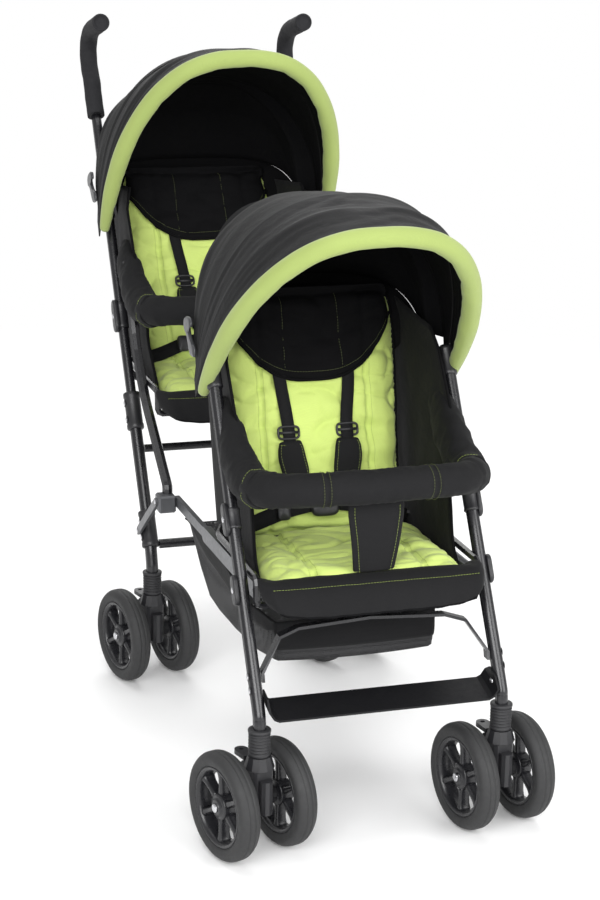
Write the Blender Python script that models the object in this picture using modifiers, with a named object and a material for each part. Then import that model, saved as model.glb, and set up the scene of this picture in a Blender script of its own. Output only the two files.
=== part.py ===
"""Tandem buggy: two padded seats, one behind the other, on four twin-wheel casters.

Metres, +Z up, +X to the right as seen from the front, +Y to the rear. Heights are measured
from the floor and lengths from the line through the two front axles. The empty "buggy" carries
everything and puts the origin on the floor in the middle of the overall length.
"""

import math

import bmesh
import bpy
from mathutils import Matrix, Vector

# Clearances
GAP = 0.0003            # between two pieces that touch
PIN_GAP = 0.0003        # round a pin in its hole

# Overall places
HALF_LENGTH = 0.5300    # origin behind the front axles

# Wheels and casters
WHEEL_RADIUS = 0.0790
TYRE_WIDTH = 0.0326
TYRE_INNER_RADIUS = 0.0585
WHEEL_OFFSET = 0.0468   # centre of one wheel from the middle of its caster
TRAIL = 0.0160          # axle behind the swivel
RIM_WIDTH = 0.0260
SPOKES = 6
AXLE_RADIUS = 0.0040
BOSS_RADIUS = 0.0130
STEM_RADIUS = 0.0085
FRONT_SWIVEL_X = 0.1815
REAR_SWIVEL_X = 0.1757
FRONT_SWIVEL_Y = -0.0120
REAR_SWIVEL_Y = 0.6750
# Casters stand a little turned, in degrees, seen from above
TURNS = {"front_left": 16.0, "front_right": 9.5, "rear_left": 13.7, "rear_right": 18.0}
HOUSING_TOP = 0.1515
LEVER_LENGTH = 0.0340
LEVER_WIDTH = 0.0200
LEVER_THICKNESS = 0.0065

# Boots over the swivels
BOOT_RADIUS = 0.0158
BOOT_GROOVE = 0.0135
BOOT_RIBS = 7
BOOT_SIDES = 10
BOOT_LOW = 0.1520
BOOT_HIGH = 0.1910

# Tubes
LEG_RADIUS = 0.0095
REAR_LEG_RADIUS = 0.0105
HANDLE_RADIUS = 0.0087
POST_RADIUS = 0.0087
SEAT_TUBE_RADIUS = 0.0055
CROSS_RADIUS = 0.0080
GRIP_RADIUS = 0.0153
TUBE_FOOT = 0.1722      # lower end of the legs, inside the boots
COLLAR_RADIUS = 0.0145
CROSS_LOW_Z = 0.2360
CROSS_HIGH_Z = 0.3830

# Front legs: straight line through this point at this slope (y per z)
FRONT_LEG_X = FRONT_SWIVEL_X
FRONT_LEG_Y = 0.0190
FRONT_LEG_Z = 0.2570
FRONT_LEG_SLOPE = 0.606
FRONT_LEG_TOP = 0.6580

# Rear legs: a straight line that also carries the handles
REAR_LEG_Y = 0.6624
REAR_LEG_Z = 0.1968
REAR_LEG_SLOPE = 0.564
REAR_LEG_SPLAY = 0.0122  # outwards, per metre of height
REAR_LEG_SPLIT = 0.4410  # where the thin upper tube starts
HANDLE_TOP = 0.9120

# Rails: from the rear brackets to the front legs
RAIL_X = 0.1595
RAIL_THICKNESS = 0.0080
RAIL_HEIGHT = 0.0160
SLEEVE_THICKNESS = 0.0120
SLEEVE_HEIGHT = 0.0240
SLEEVE_BACK = 0.3650
JOINT_Y = 0.5630
JOINT_Z = 0.3500
RAIL_FRONT_Z = 0.3610
PIN_RADIUS = 0.0042
PIN_END = 0.0020         # pin beyond the rail
LINK_X = 0.1912

# Posts of the rear seat
POST_X = 0.1740

# Seats, in the front seat's own place; the rear seat repeats them at REAR_SEAT
SEAT_FRONT_Y = 0.0600
SEAT_BACK_Y = 0.2777
SEAT_TOP_FRONT = 0.3840
SEAT_TOP_BACK = 0.3770
SEAT_BOTTOM = 0.3500
SEAT_HALF = 0.1512
SEAT_NOSE_HALF = 0.1680
FLAP_Y = 0.0110
FLAP_Z = 0.3390
RECLINE_Y = 0.2780
RECLINE_Z = 0.3770
BACK_LENGTH = 0.3750
BACK_THICKNESS = 0.0280
BACK_HALF_LOW = 0.1340
BACK_HALF_HIGH = 0.1485
BACK_CROWN = 0.0040
FRONT_LEAN = 17.7
REAR_LEAN = 30.0
REAR_SEAT = Vector((0.0, 0.6250, 0.1200))
PANEL_X = 0.1500
PANEL_THICKNESS = 0.0030
FRONT_PANEL_Y = 0.1420  # front edge of the side panels behind the bumper's ends
REAR_PANEL_Y = 0.1820

# Bumper bars
BUMPER_RADIUS = 0.0250
BUMPER_Z = 0.5190
BUMPER_END_Y = 0.1350
REAR_BUMPER = Vector((0.0, 0.6650, 0.1180))

# Canopies
CANOPY_HALF = 0.1996
CANOPY_WALL = 0.0028
CANOPY_SQUARE = 2.45    # exponent of the arch, 2 is an ellipse
PANEL_SQUARE = 3.2      # the same for the panel behind the child
TRIM_RADIUS = 0.0140
REAR_CANOPY = Vector((0.0, 0.6680, 0.1280))
CANOPY_PIVOT_Y = 0.2830
CANOPY_PIVOT_Z = 0.6400
PIVOT_PLATE_X = 0.1913   # outer face of the plates that carry the hoods
FIXED_HALF = 0.1960
BACK_PANEL_HALF = 0.1700
REAR_CANOPY_TURN = 12.0
REAR_CANOPY_EXTRA = 0.0080  # the rear hood is wider by this on each side
BASKET_WALL = 0.0024
BASKET_HALF = RAIL_X - SLEEVE_THICKNESS / 2.0 - GAP - BASKET_WALL / 2.0

BLACK_FABRIC = (0.028, 0.028, 0.030)
LIME_FABRIC = (0.52, 0.72, 0.16)
BLACK_PLASTIC = (0.030, 0.030, 0.033)
GREY_PLASTIC = (0.13, 0.13, 0.14)
BLACK_PAINT = (0.022, 0.022, 0.025)
TYRE_GREY = (0.075, 0.075, 0.078)
STEEL = (0.62, 0.62, 0.64)
SIDES = {"left": -1.0, "right": 1.0}


def clear_scene():
    for old in list(bpy.data.objects):
        bpy.data.objects.remove(old, do_unlink=True)
    for group in list(bpy.data.collections):
        bpy.data.collections.remove(group)


def new_collection(name):
    group = bpy.data.collections.new(name)
    bpy.context.scene.collection.children.link(group)
    return group


def axis_empty(name, place, parent=None, turn=0.0):
    """An empty on a joint's axis; its place is kept in the buggy's own frame."""
    empty = bpy.data.objects.new(name, None)
    empty.empty_display_size = 0.03
    empty["place"] = tuple(place)
    PARTS.objects.link(empty)
    origin = Vector(place)
    if parent is not None:
        empty.parent = parent
        origin = origin - Vector(parent["place"])
    empty.location = origin
    empty.rotation_euler.z = math.radians(turn)
    return empty


# Meshes

def outward(bm):
    """Faces outwards, whichever way the shape was drawn."""
    bmesh.ops.recalc_face_normals(bm, faces=bm.faces)
    if bm.calc_volume(signed=True) < 0.0:
        bmesh.ops.reverse_faces(bm, faces=bm.faces)
    return bm


def evaluated(obj):
    """The object's evaluated mesh as a bmesh in the buggy's frame; the object is removed."""
    bpy.context.view_layer.update()
    graph = bpy.context.evaluated_depsgraph_get()
    mesh = bpy.data.meshes.new_from_object(obj.evaluated_get(graph), depsgraph=graph)
    mesh.transform(obj.matrix_world)
    bm = bmesh.new()
    bm.from_mesh(mesh)
    bpy.data.meshes.remove(mesh)
    bpy.data.objects.remove(obj, do_unlink=True)
    bmesh.ops.remove_doubles(bm, verts=bm.verts, dist=0.00002)
    return outward(bm)


def scratch_object(name, data):
    obj = bpy.data.objects.new(name, data)
    CUTTERS.objects.link(obj)
    obj.hide_render = True
    if obj.type == "MESH":
        obj.display_type = "WIRE"
    return obj


def mesh_object(name, bm):
    mesh = bpy.data.meshes.new(name)
    bm.to_mesh(mesh)
    bm.free()
    return scratch_object(name, mesh)


def tube(points, radius, resolution=2, cyclic=False):
    """A round tube along the points."""
    curve = bpy.data.curves.new("tube", "CURVE")
    curve.dimensions = "3D"
    curve.twist_mode = "MINIMUM"
    curve.bevel_depth = radius
    curve.bevel_resolution = resolution
    curve.use_fill_caps = True
    spline = curve.splines.new("POLY")
    spline.points.add(len(points) - 1)
    for target, point in zip(spline.points, points):
        target.co = (*point, 1.0)
    spline.use_cyclic_u = cyclic
    return evaluated(scratch_object("tube", curve))


def plate(outline, thickness, holes=()):
    """A flat outline in XY, with holes, thickened to both sides of Z = 0."""
    curve = bpy.data.curves.new("plate", "CURVE")
    curve.dimensions = "2D"
    curve.fill_mode = "BOTH"
    curve.extrude = thickness / 2.0
    for loop in (outline, *holes):
        spline = curve.splines.new("POLY")
        spline.points.add(len(loop) - 1)
        for target, point in zip(spline.points, loop):
            target.co = (point[0], point[1], 0.0, 1.0)
        spline.use_cyclic_u = True
    return evaluated(scratch_object("plate", curve))


def side_plate(outline, thickness, x, holes=()):
    """A plate whose outline is given in Y and Z, standing at x."""
    bm = plate(outline, thickness, holes)
    turn = Matrix(((0, 0, 1, x), (1, 0, 0, 0), (0, 1, 0, 0), (0, 0, 0, 1)))
    bm.transform(turn)
    return outward(bm)


def box(low, high, bevel=0.0):
    low, high = Vector(low), Vector(high)
    bm = bmesh.new()
    bmesh.ops.create_cube(bm, size=1.0)
    size = high - low
    bm.transform(Matrix.Translation((low + high) / 2.0) @ Matrix.Diagonal((*size, 1.0)))
    if bevel > 0.0:
        bmesh.ops.bevel(bm, geom=list(bm.edges), offset=bevel, segments=1, affect="EDGES")
    return outward(bm)


def rod(start, end, radius, sides=16, end_radius=None):
    """A cylinder or cone from start to end."""
    start, end = Vector(start), Vector(end)
    along = end - start
    bm = bmesh.new()
    bmesh.ops.create_cone(bm, cap_ends=True, segments=sides, radius1=radius,
                          radius2=radius if end_radius is None else end_radius,
                          depth=along.length)
    turn = along.to_track_quat("Z", "Y").to_matrix().to_4x4()
    bm.transform(Matrix.Translation((start + end) / 2.0) @ turn)
    return outward(bm)


def turned(profile, steps):
    """A profile of radius and height turned about Z; an open profile meets the axis."""
    bm = bmesh.new()
    points = [bm.verts.new((radius, 0.0, height)) for radius, height in profile]
    for first, second in zip(points, points[1:] + points[:1]):
        bm.edges.new((first, second))
    obj = mesh_object("turned", bm)
    screw = obj.modifiers.new("turn", "SCREW")
    screw.steps = steps
    screw.render_steps = steps
    screw.use_merge_vertices = True
    screw.merge_threshold = 0.00001
    return evaluated(obj)


def slab(across, along, shape):
    """A grid with two layers, each point placed by shape(u, v, top), u and v from 0 to 1."""
    bm = bmesh.new()
    bmesh.ops.create_grid(bm, x_segments=across, y_segments=along, size=0.5)
    lower = list(bm.verts)
    made = bmesh.ops.extrude_face_region(bm, geom=list(bm.faces), use_keep_orig=True)
    upper = {item for item in made["geom"] if isinstance(item, bmesh.types.BMVert)}
    for vert in [*lower, *upper]:
        vert.co = shape(vert.co.x + 0.5, vert.co.y + 0.5, vert in upper)
    return outward(bm)


def moved(bm, offset):
    bm.transform(Matrix.Translation(Vector(offset)))
    return bm


def combined(base, others, operation):
    """The base joined with, or cut by, the other shapes."""
    target = mesh_object("base", base)
    helpers = [mesh_object("helper", bm) for bm in others]
    for helper in helpers:
        step = target.modifiers.new(operation.lower(), "BOOLEAN")
        step.operation = operation
        step.object = helper
    result = evaluated(target)
    for helper in helpers:
        bpy.data.objects.remove(helper, do_unlink=True)
    bmesh.ops.dissolve_limit(result, angle_limit=0.001, verts=result.verts, edges=result.edges)
    return outward(result)


def fused(first, *others):
    return combined(first, others, "UNION")


def drilled(first, *others):
    return combined(first, others, "DIFFERENCE")


def piece(name, shapes, parent, colour, roughness=0.5, metallic=0.0, local=False, smooth=True):
    """One node: its solids, its material and its place under a parent."""
    bm = bmesh.new()
    for shape in shapes:
        part = bpy.data.meshes.new("part")
        shape.to_mesh(part)
        shape.free()
        bm.from_mesh(part)
        bpy.data.meshes.remove(part)
    bmesh.ops.triangulate(bm, faces=bm.faces)
    if not local:
        bm.transform(Matrix.Translation(-Vector(parent["place"])))
    mesh = bpy.data.meshes.new(name)
    bm.to_mesh(mesh)
    bm.free()
    if smooth:
        mesh.shade_smooth()
        mesh.set_sharp_from_angle(angle=math.radians(35.0))
    finish = bpy.data.materials.new(name)
    finish.use_nodes = True
    shader = finish.node_tree.nodes["Principled BSDF"]
    shader.inputs["Base Color"].default_value = (*colour, 1.0)
    shader.inputs["Roughness"].default_value = roughness
    shader.inputs["Metallic"].default_value = metallic
    mesh.materials.append(finish)
    obj = bpy.data.objects.new(name, mesh)
    PARTS.objects.link(obj)
    obj.parent = parent
    return obj


# Shapes that several pieces share

def circle(centre, radius, count, start=0.0):
    return [(centre[0] + radius * math.cos(start + 2.0 * math.pi * i / count),
             centre[1] + radius * math.sin(start + 2.0 * math.pi * i / count))
            for i in range(count)]


def capsule(first, second, radius, count=6):
    """The outline of a bar with round ends."""
    start = math.atan2(second[1] - first[1], second[0] - first[0])
    points = []
    for centre, facing in ((first, start + math.pi / 2.0), (second, start - math.pi / 2.0)):
        for i in range(count + 1):
            angle = facing + math.pi * i / count
            points.append((centre[0] + radius * math.cos(angle),
                           centre[1] + radius * math.sin(angle)))
    return points


def rounded(points, radius, steps=3):
    """The points with each inner corner replaced by a short curve."""
    points = [Vector(point) for point in points]
    path = [points[0]]
    for before, corner, after in zip(points, points[1:], points[2:]):
        into, out = before - corner, after - corner
        reach = min(radius, into.length * 0.45, out.length * 0.45)
        first = corner + into.normalized() * reach
        last = corner + out.normalized() * reach
        for i in range(steps + 1):
            t = i / steps
            path.append(first * (1 - t) ** 2 + corner * 2 * t * (1 - t) + last * t ** 2)
    path.append(points[-1])
    return path


def front_leg_y(z):
    return FRONT_LEG_Y + FRONT_LEG_SLOPE * (z - FRONT_LEG_Z)


def rear_leg_y(z):
    return REAR_LEG_Y + REAR_LEG_SLOPE * (z - REAR_LEG_Z)


def rear_leg_x(z):
    return REAR_SWIVEL_X + REAR_LEG_SPLAY * (z - REAR_LEG_Z)


def rear_leg_point(side, z):
    return Vector((side * rear_leg_x(z), rear_leg_y(z), z))


def arch(half, low, high, count, square=CANOPY_SQUARE):
    """Points of a squarish arch that stands on low, at both sides, and peaks at high."""
    points = []
    for i in range(count + 1):
        angle = math.pi * i / count
        wide = math.copysign(abs(math.cos(angle)) ** (2.0 / square), math.cos(angle))
        tall = max(math.sin(angle), 0.0) ** (2.0 / square)
        y = low[0] + (high[0] - low[0]) * tall
        z = low[1] + (high[1] - low[1]) * tall
        points.append(Vector((-half * wide, y, z)))
    return points


# Casters

def caster(name, swivel_x, swivel_y, parent):
    side = SIDES[name.split("_")[1]]
    swivel = axis_empty(f"{name}_swivel", (side * swivel_x, swivel_y, 0.0), parent, TURNS[name])
    axle_z = WHEEL_RADIUS
    inner_face = WHEEL_OFFSET - RIM_WIDTH / 2.0
    boss_end = inner_face - GAP

    body = fused(
        rod((0, 0, 0.1340), (0, 0, HOUSING_TOP), 0.0220, 12, 0.0170),
        box((-0.0160, -0.0150, 0.0660), (0.0160, 0.0300, 0.1360), 0.0040),
        rod((0, -0.0190, 0.0700), (0, -0.0190, 0.1200), 0.0095, 10),
        rod((-boss_end, TRAIL, axle_z), (boss_end, TRAIL, axle_z), BOSS_RADIUS, 12),
        rod((0, 0, 0.1450), (0, 0, TUBE_FOOT - GAP), STEM_RADIUS, 10))
    body = drilled(body, rod((-0.05, TRAIL, axle_z), (0.05, TRAIL, axle_z),
                             AXLE_RADIUS + PIN_GAP, 10))
    piece(f"{name}_fork", [body], swivel, BLACK_PLASTIC, 0.45, local=True)

    head = WHEEL_OFFSET + RIM_WIDTH / 2.0 + GAP
    axle = fused(rod((-head - 0.0020, TRAIL, axle_z), (head + 0.0020, TRAIL, axle_z),
                     AXLE_RADIUS, 10),
                 rod((-head - 0.0025, TRAIL, axle_z), (-head, TRAIL, axle_z), 0.0062, 10),
                 rod((head, TRAIL, axle_z), (head + 0.0025, TRAIL, axle_z), 0.0062, 10))
    piece(f"{name}_axle", [axle], swivel, STEEL, 0.3, 1.0, local=True)

    lever_y, lever_z = 0.0238, 0.1360 + GAP
    hinge_place = (0.0, lever_y, lever_z)
    lever_axis = bpy.data.objects.new(f"{name}_lever_axis", None)
    PARTS.objects.link(lever_axis)
    lever_axis.parent = swivel
    lever_axis.location = hinge_place
    half = LEVER_WIDTH / 2.0
    reach = LEVER_LENGTH - half
    outline = [(-half, 0.0), (half, 0.0)]
    outline += [(half * math.cos(math.pi * i / 8), reach + half * math.sin(math.pi * i / 8))
                for i in range(9)]
    tongue = plate(outline, LEVER_THICKNESS, [circle((0.0, reach), 0.0038, 8)])
    moved(tongue, (0.0, 0.0, LEVER_THICKNESS / 2.0))
    piece(f"{name}_lever", [tongue], lever_axis, BLACK_PLASTIC, 0.45, local=True)

    for place, offset in (("inner", -side * WHEEL_OFFSET), ("outer", side * WHEEL_OFFSET)):
        spin = bpy.data.objects.new(f"{name}_{place}_spin", None)
        PARTS.objects.link(spin)
        spin.parent = swivel
        spin.location = (offset, TRAIL, axle_z)
        piece(f"{name}_{place}_tyre", [tyre()], spin, TYRE_GREY, 0.75, local=True)
        piece(f"{name}_{place}_rim", [rim()], spin, BLACK_PLASTIC, 0.4, local=True)


def on_axle(bm):
    """Turns a shape made round Z onto X."""
    bm.transform(Matrix.Rotation(math.pi / 2.0, 4, "Y"))
    return outward(bm)


def tyre():
    wide = TYRE_WIDTH / 2.0
    profile = [(TYRE_INNER_RADIUS, -wide + 0.0025), (TYRE_INNER_RADIUS + 0.0100, -wide),
               (WHEEL_RADIUS - 0.0030, -wide + 0.0048), (WHEEL_RADIUS, -0.0060),
               (WHEEL_RADIUS, 0.0060), (WHEEL_RADIUS - 0.0030, wide - 0.0048),
               (TYRE_INNER_RADIUS + 0.0100, wide), (TYRE_INNER_RADIUS, wide - 0.0025)]
    return on_axle(turned(profile, 20))


def rim():
    hub, ring = 0.0185, 0.0510
    windows = []
    for i in range(SPOKES):
        middle = 2.0 * math.pi * (i + 0.5) / SPOKES
        inner = math.pi / SPOKES - math.asin(0.0050 / hub)
        outer = math.pi / SPOKES - math.asin(0.0036 / ring)
        angles = [(hub, -inner), (hub, inner), (ring, outer), (ring, outer / 3.0),
                  (ring, -outer / 3.0), (ring, -outer)]
        windows.append([(r * math.cos(middle + a), r * math.sin(middle + a)) for r, a in angles])
    bore = circle((0.0, 0.0), AXLE_RADIUS + PIN_GAP, 10)
    edge = circle((0.0, 0.0), TYRE_INNER_RADIUS - GAP, 20)
    return on_axle(plate(edge, RIM_WIDTH, [*windows, bore]))


def boot(side, swivel_x, swivel_y, leg_radius):
    """A ribbed boot with the bore that takes the leg's foot and the caster's stem."""
    bore = (leg_radius + GAP) / math.cos(math.pi / BOOT_SIDES)
    profile = [(bore, BOOT_LOW), (BOOT_RADIUS, BOOT_LOW)]
    pitch = (BOOT_HIGH - BOOT_LOW - 0.0060) / BOOT_RIBS
    for i in range(BOOT_RIBS):
        low = BOOT_LOW + 0.0020 + pitch * i
        profile += [(BOOT_RADIUS, low + pitch * 0.30), (BOOT_GROOVE, low + pitch * 0.80)]
    profile += [(BOOT_RADIUS + 0.0006, BOOT_HIGH - 0.0040), (BOOT_RADIUS, BOOT_HIGH),
                (bore, BOOT_HIGH)]
    return moved(turned(profile, BOOT_SIDES), (side * swivel_x, swivel_y, 0.0))


# Frame

def names(side):
    return "left" if side < 0 else "right"


def bar_plate(first, second, radius, low_x, high_x, side, count=5):
    """A flat bar with round ends between two points in Y and Z, on one side."""
    middle = side * (low_x + high_x) / 2.0
    return side_plate(capsule(first, second, radius, count), high_x - low_x, middle)


def box_sided(side, x_low, x_high, y_low, y_high, z_low, z_high, bevel=0.0):
    """A box given by its inner and outer x, on one side."""
    first, second = side * x_low, side * x_high
    return box((min(first, second), y_low, z_low), (max(first, second), y_high, z_high), bevel)


def front_leg(side, parent):
    """The leg with the fittings that are riveted to it."""
    x = side * FRONT_LEG_X
    bend = FRONT_LEG_Z - 0.0380
    path = [(x, FRONT_SWIVEL_Y, TUBE_FOOT), (x, FRONT_SWIVEL_Y, 0.2010),
            (x, front_leg_y(bend), bend), (x, front_leg_y(FRONT_LEG_TOP), FRONT_LEG_TOP)]
    leg = tube(rounded(path, 0.0140, 2), LEG_RADIUS, 3)
    outer = FRONT_LEG_X + LEG_RADIUS
    inner = FRONT_LEG_X - LEG_RADIUS
    rail_y = front_leg_y(RAIL_FRONT_Z)
    spacer = rod((side * (RAIL_X + SLEEVE_THICKNESS / 2.0 + GAP), rail_y, RAIL_FRONT_Z),
                 (side * (inner + 0.004), rail_y, RAIL_FRONT_Z), 0.0075, 12)
    pin = rod((side * (RAIL_X - SLEEVE_THICKNESS / 2.0 - PIN_END), rail_y, RAIL_FRONT_Z),
              (side * (inner + 0.004), rail_y, RAIL_FRONT_Z), PIN_RADIUS, 12)
    fittings = [spacer, pin]
    for z, reach in ((0.4510, 0.0120), (0.3630, 0.0100)):
        middle = front_leg_y(z)
        fittings.append(bar_plate((middle - reach * FRONT_LEG_SLOPE, z - reach),
                                  (middle + reach * FRONT_LEG_SLOPE, z + reach), 0.0100,
                                  outer - 0.0020, outer + 0.0050, side))
    anchor = (front_leg_y(CANOPY_PIVOT_Z), CANOPY_PIVOT_Z)
    fittings.append(bar_plate(anchor, (CANOPY_PIVOT_Y, CANOPY_PIVOT_Z), 0.0110,
                              outer - 0.0040, PIVOT_PLATE_X, side))
    fittings.append(box_sided(side, inner - 0.0055, inner + 0.0050, BUMPER_END_Y + GAP,
                              front_leg_y(0.5020), 0.4910, 0.5130))
    piece(f"front_leg_{names(side)}", [fused(leg, *fittings)], parent, BLACK_PAINT, 0.3, 0.6)
    piece(f"front_boot_{names(side)}",
          [boot(side, FRONT_SWIVEL_X, FRONT_SWIVEL_Y, LEG_RADIUS)], parent, BLACK_PLASTIC, 0.6)


def rear_leg(side, parent):
    """The leg, its collars and the thinner tube that carries the grip."""
    foot = side * REAR_SWIVEL_X
    path = [Vector((foot, REAR_SWIVEL_Y, TUBE_FOOT)), Vector((foot, REAR_SWIVEL_Y, 0.2060)),
            rear_leg_point(side, 0.2450), rear_leg_point(side, REAR_LEG_SPLIT)]
    leg = tube(rounded(path, 0.0140, 2), REAR_LEG_RADIUS, 3)
    shaft = tube([rear_leg_point(side, REAR_LEG_SPLIT - 0.02),
                  rear_leg_point(side, HANDLE_TOP + 0.0300)], HANDLE_RADIUS, 3)
    fittings = [shaft]
    for low, high in ((0.2320, 0.2870), (0.4130, 0.4700)):
        fittings.append(rod(rear_leg_point(side, low), rear_leg_point(side, high),
                            COLLAR_RADIUS, 14))
    cover_z, half = 0.5920, 0.0150
    cover_y = rear_leg_y(cover_z)
    cover_x = rear_leg_x(cover_z) + HANDLE_RADIUS
    fittings.append(bar_plate((cover_y - half * REAR_LEG_SLOPE, cover_z - half),
                              (cover_y + half * REAR_LEG_SLOPE, cover_z + half), 0.0120,
                              cover_x - 0.0030, cover_x + 0.0060, side))
    pivot = (CANOPY_PIVOT_Y + REAR_CANOPY.y, CANOPY_PIVOT_Z + REAR_CANOPY.z)
    fittings.append(bar_plate((rear_leg_y(pivot[1]), pivot[1]), pivot, 0.0110,
                              rear_leg_x(pivot[1]) + HANDLE_RADIUS - 0.0040,
                              PIVOT_PLATE_X + REAR_CANOPY_EXTRA, side))
    piece(f"rear_leg_{names(side)}", [fused(leg, *fittings)], parent, BLACK_PAINT, 0.3, 0.6)
    piece(f"rear_boot_{names(side)}",
          [boot(side, REAR_SWIVEL_X, REAR_SWIVEL_Y, REAR_LEG_RADIUS)], parent,
          BLACK_PLASTIC, 0.6)


def handle_grip(side, parent):
    """A foam grip pushed over the bent end of the handle."""
    x = side * rear_leg_x(HANDLE_TOP)
    knots = [(rear_leg_y(0.9190), 0.9190), (1.1000, 0.9660), (1.1380, 1.0200),
             (1.1200, 1.0620), (1.0180, 1.0850)]
    body = tube(rounded([(x, y, z) for y, z in knots], 0.0320, 3), GRIP_RADIUS, 3)
    low = rear_leg_point(side, HANDLE_TOP - 0.0300)
    high = rear_leg_point(side, HANDLE_TOP + 0.0310)
    bore = rod(low, high, HANDLE_RADIUS + GAP + 0.0002, 16)
    piece(f"handle_grip_{names(side)}", [drilled(body, bore)], parent, BLACK_PLASTIC, 0.8)


def rear_bracket(side, parent):
    """The bracket that carries the rail's pin and the rear seat's post, with its link."""
    inner, outer = RAIL_X + RAIL_THICKNESS / 2.0 + GAP, LINK_X + 0.0020
    block = box_sided(side, inner, outer, JOINT_Y - 0.0150, JOINT_Y + 0.0150,
                      JOINT_Z - 0.0170, JOINT_Z + 0.0120, 0.0030)
    pin = rod((side * (inner + 0.0050), JOINT_Y, JOINT_Z),
              (side * (RAIL_X - RAIL_THICKNESS / 2.0 - PIN_END), JOINT_Y, JOINT_Z),
              PIN_RADIUS, 12)
    foot = (rear_leg_y(0.2580), 0.2580)
    link = bar_plate((JOINT_Y, JOINT_Z), foot, 0.0070, LINK_X, LINK_X + 0.0050, side)
    piece(f"rear_bracket_{names(side)}", [fused(block, pin, link)], parent, GREY_PLASTIC,
          0.35, 0.4)


def rear_cross_frame(parent):
    """The two bars between the rear legs and the strut that joins them."""
    bars = []
    for z, radius, clear in ((CROSS_LOW_Z, CROSS_RADIUS, COLLAR_RADIUS),
                             (CROSS_HIGH_Z, CROSS_RADIUS - 0.0010, REAR_LEG_RADIUS)):
        reach = rear_leg_x(z) - clear - GAP
        bars.append(rod((-reach, rear_leg_y(z), z), (reach, rear_leg_y(z), z), radius, 12))
    strut = rod((0, rear_leg_y(CROSS_LOW_Z), CROSS_LOW_Z),
                (0, rear_leg_y(CROSS_HIGH_Z), CROSS_HIGH_Z), 0.0060, 10)
    piece("rear_cross_frame", [fused(*bars, strut)], parent, BLACK_PAINT, 0.35, 0.5)


# Rails and basket

def side_rail(side, parent):
    """The bar and the deeper sleeve over its front part, with a hole at each end."""
    front = (front_leg_y(RAIL_FRONT_Z), RAIL_FRONT_Z)
    back = (JOINT_Y, JOINT_Z)
    share = (JOINT_Y - SLEEVE_BACK) / (JOINT_Y - front[0])
    meet = (SLEEVE_BACK, JOINT_Z + (RAIL_FRONT_Z - JOINT_Z) * share)
    x = side * RAIL_X
    bar = side_plate(capsule(back, meet, RAIL_HEIGHT / 2.0, 4), RAIL_THICKNESS, x,
                     [circle(back, PIN_RADIUS + PIN_GAP, 12)])
    sleeve = side_plate(capsule(front, meet, SLEEVE_HEIGHT / 2.0, 6), SLEEVE_THICKNESS, x,
                        [circle(front, PIN_RADIUS + PIN_GAP, 12)])
    piece(f"side_rail_{names(side)}", [fused(sleeve, bar)], parent, GREY_PLASTIC, 0.35, 0.3)


def basket(parent):
    """A sling open at the top: the bottom, two sides, a front and a sloping back."""
    knots = [(0.1180, 0.2960, 0.1230), (0.1120, 0.2620, 0.1210), (0.1200, 0.2360, 0.1210),
             (0.1800, 0.2280, 0.1280), (0.2700, 0.2290, 0.1380), (0.3600, 0.2270, 0.1400),
             (0.4200, 0.2300, 0.1400), (0.4700, 0.2620, 0.1420), (0.5380, 0.3180, 0.1440)]
    rim_points = [(0.1180, 0.2960), (0.1240, 0.2990), (0.1450, 0.3080), (0.1900, 0.3180),
                  (0.2700, 0.3300), (0.3600, 0.3440), (0.4200, 0.3440), (0.4800, 0.3380),
                  (0.5380, 0.3260)]
    across, along = 8, len(knots) - 1
    half_count = across // 2

    def place(u, v):
        y, z, half = knots[round(v * along)]
        rim_y, rim_z = rim_points[round(v * along)]
        rim_half = min(BASKET_HALF, 0.1250 + max(0.0, rim_y - 0.1200) * 0.55)
        step = round(u * across) - half_count
        side = -1.0 if step < 0 else 1.0
        if abs(step) == half_count:
            return Vector((side * rim_half, rim_y, rim_z))
        if abs(step) == half_count - 1:
            mix = 0.45
            return Vector((side * (half + (rim_half - half) * mix), y + (rim_y - y) * mix,
                           z + (rim_z - z) * mix))
        return Vector((half * step / (half_count - 2), y, z))

    bm = bmesh.new()
    bmesh.ops.create_grid(bm, x_segments=across, y_segments=along, size=0.5)
    for vert in bm.verts:
        vert.co = place(vert.co.x + 0.5, vert.co.y + 0.5)
    bmesh.ops.recalc_face_normals(bm, faces=bm.faces)
    obj = mesh_object("basket", bm)
    wall = obj.modifiers.new("wall", "SOLIDIFY")
    wall.thickness = BASKET_WALL
    wall.offset = 0.0
    piece("basket", [evaluated(obj)], parent, BLACK_FABRIC, 0.9)


# Seats

def seat_tube(tube_x, front_y):
    """The closed loop of tube round a seat; it dips under the front and the back."""
    side_z, low_z = 0.3840, SEAT_BOTTOM - GAP - SEAT_TUBE_RADIUS
    corner_y, back_y = SEAT_BACK_Y - 0.0050, SEAT_BACK_Y + 0.0400
    inner = BACK_HALF_LOW + 0.0130
    half = [(tube_x, front_y, low_z), (tube_x, front_y, side_z), (tube_x, corner_y, side_z),
            (inner, back_y, side_z), (inner, back_y, low_z)]
    corners = [Vector(point) for point in half]
    corners += [Vector((-point[0], point[1], point[2])) for point in reversed(half)]
    loop = []
    for i, corner in enumerate(corners):
        before, after = corners[i - 1], corners[(i + 1) % len(corners)]
        into, out = (before - corner).normalized(), (after - corner).normalized()
        loop += [corner + into * 0.0090, corner + (into + out) * 0.0026, corner + out * 0.0090]
    return tube(loop, SEAT_TUBE_RADIUS, 2, cyclic=True)


def front_seat_frame(parent):
    loop = seat_tube(FRONT_LEG_X - LEG_RADIUS - GAP - SEAT_TUBE_RADIUS, SEAT_FRONT_Y + 0.0030)
    piece("front_seat_frame", [loop], parent, BLACK_PAINT, 0.35, 0.5)


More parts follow.
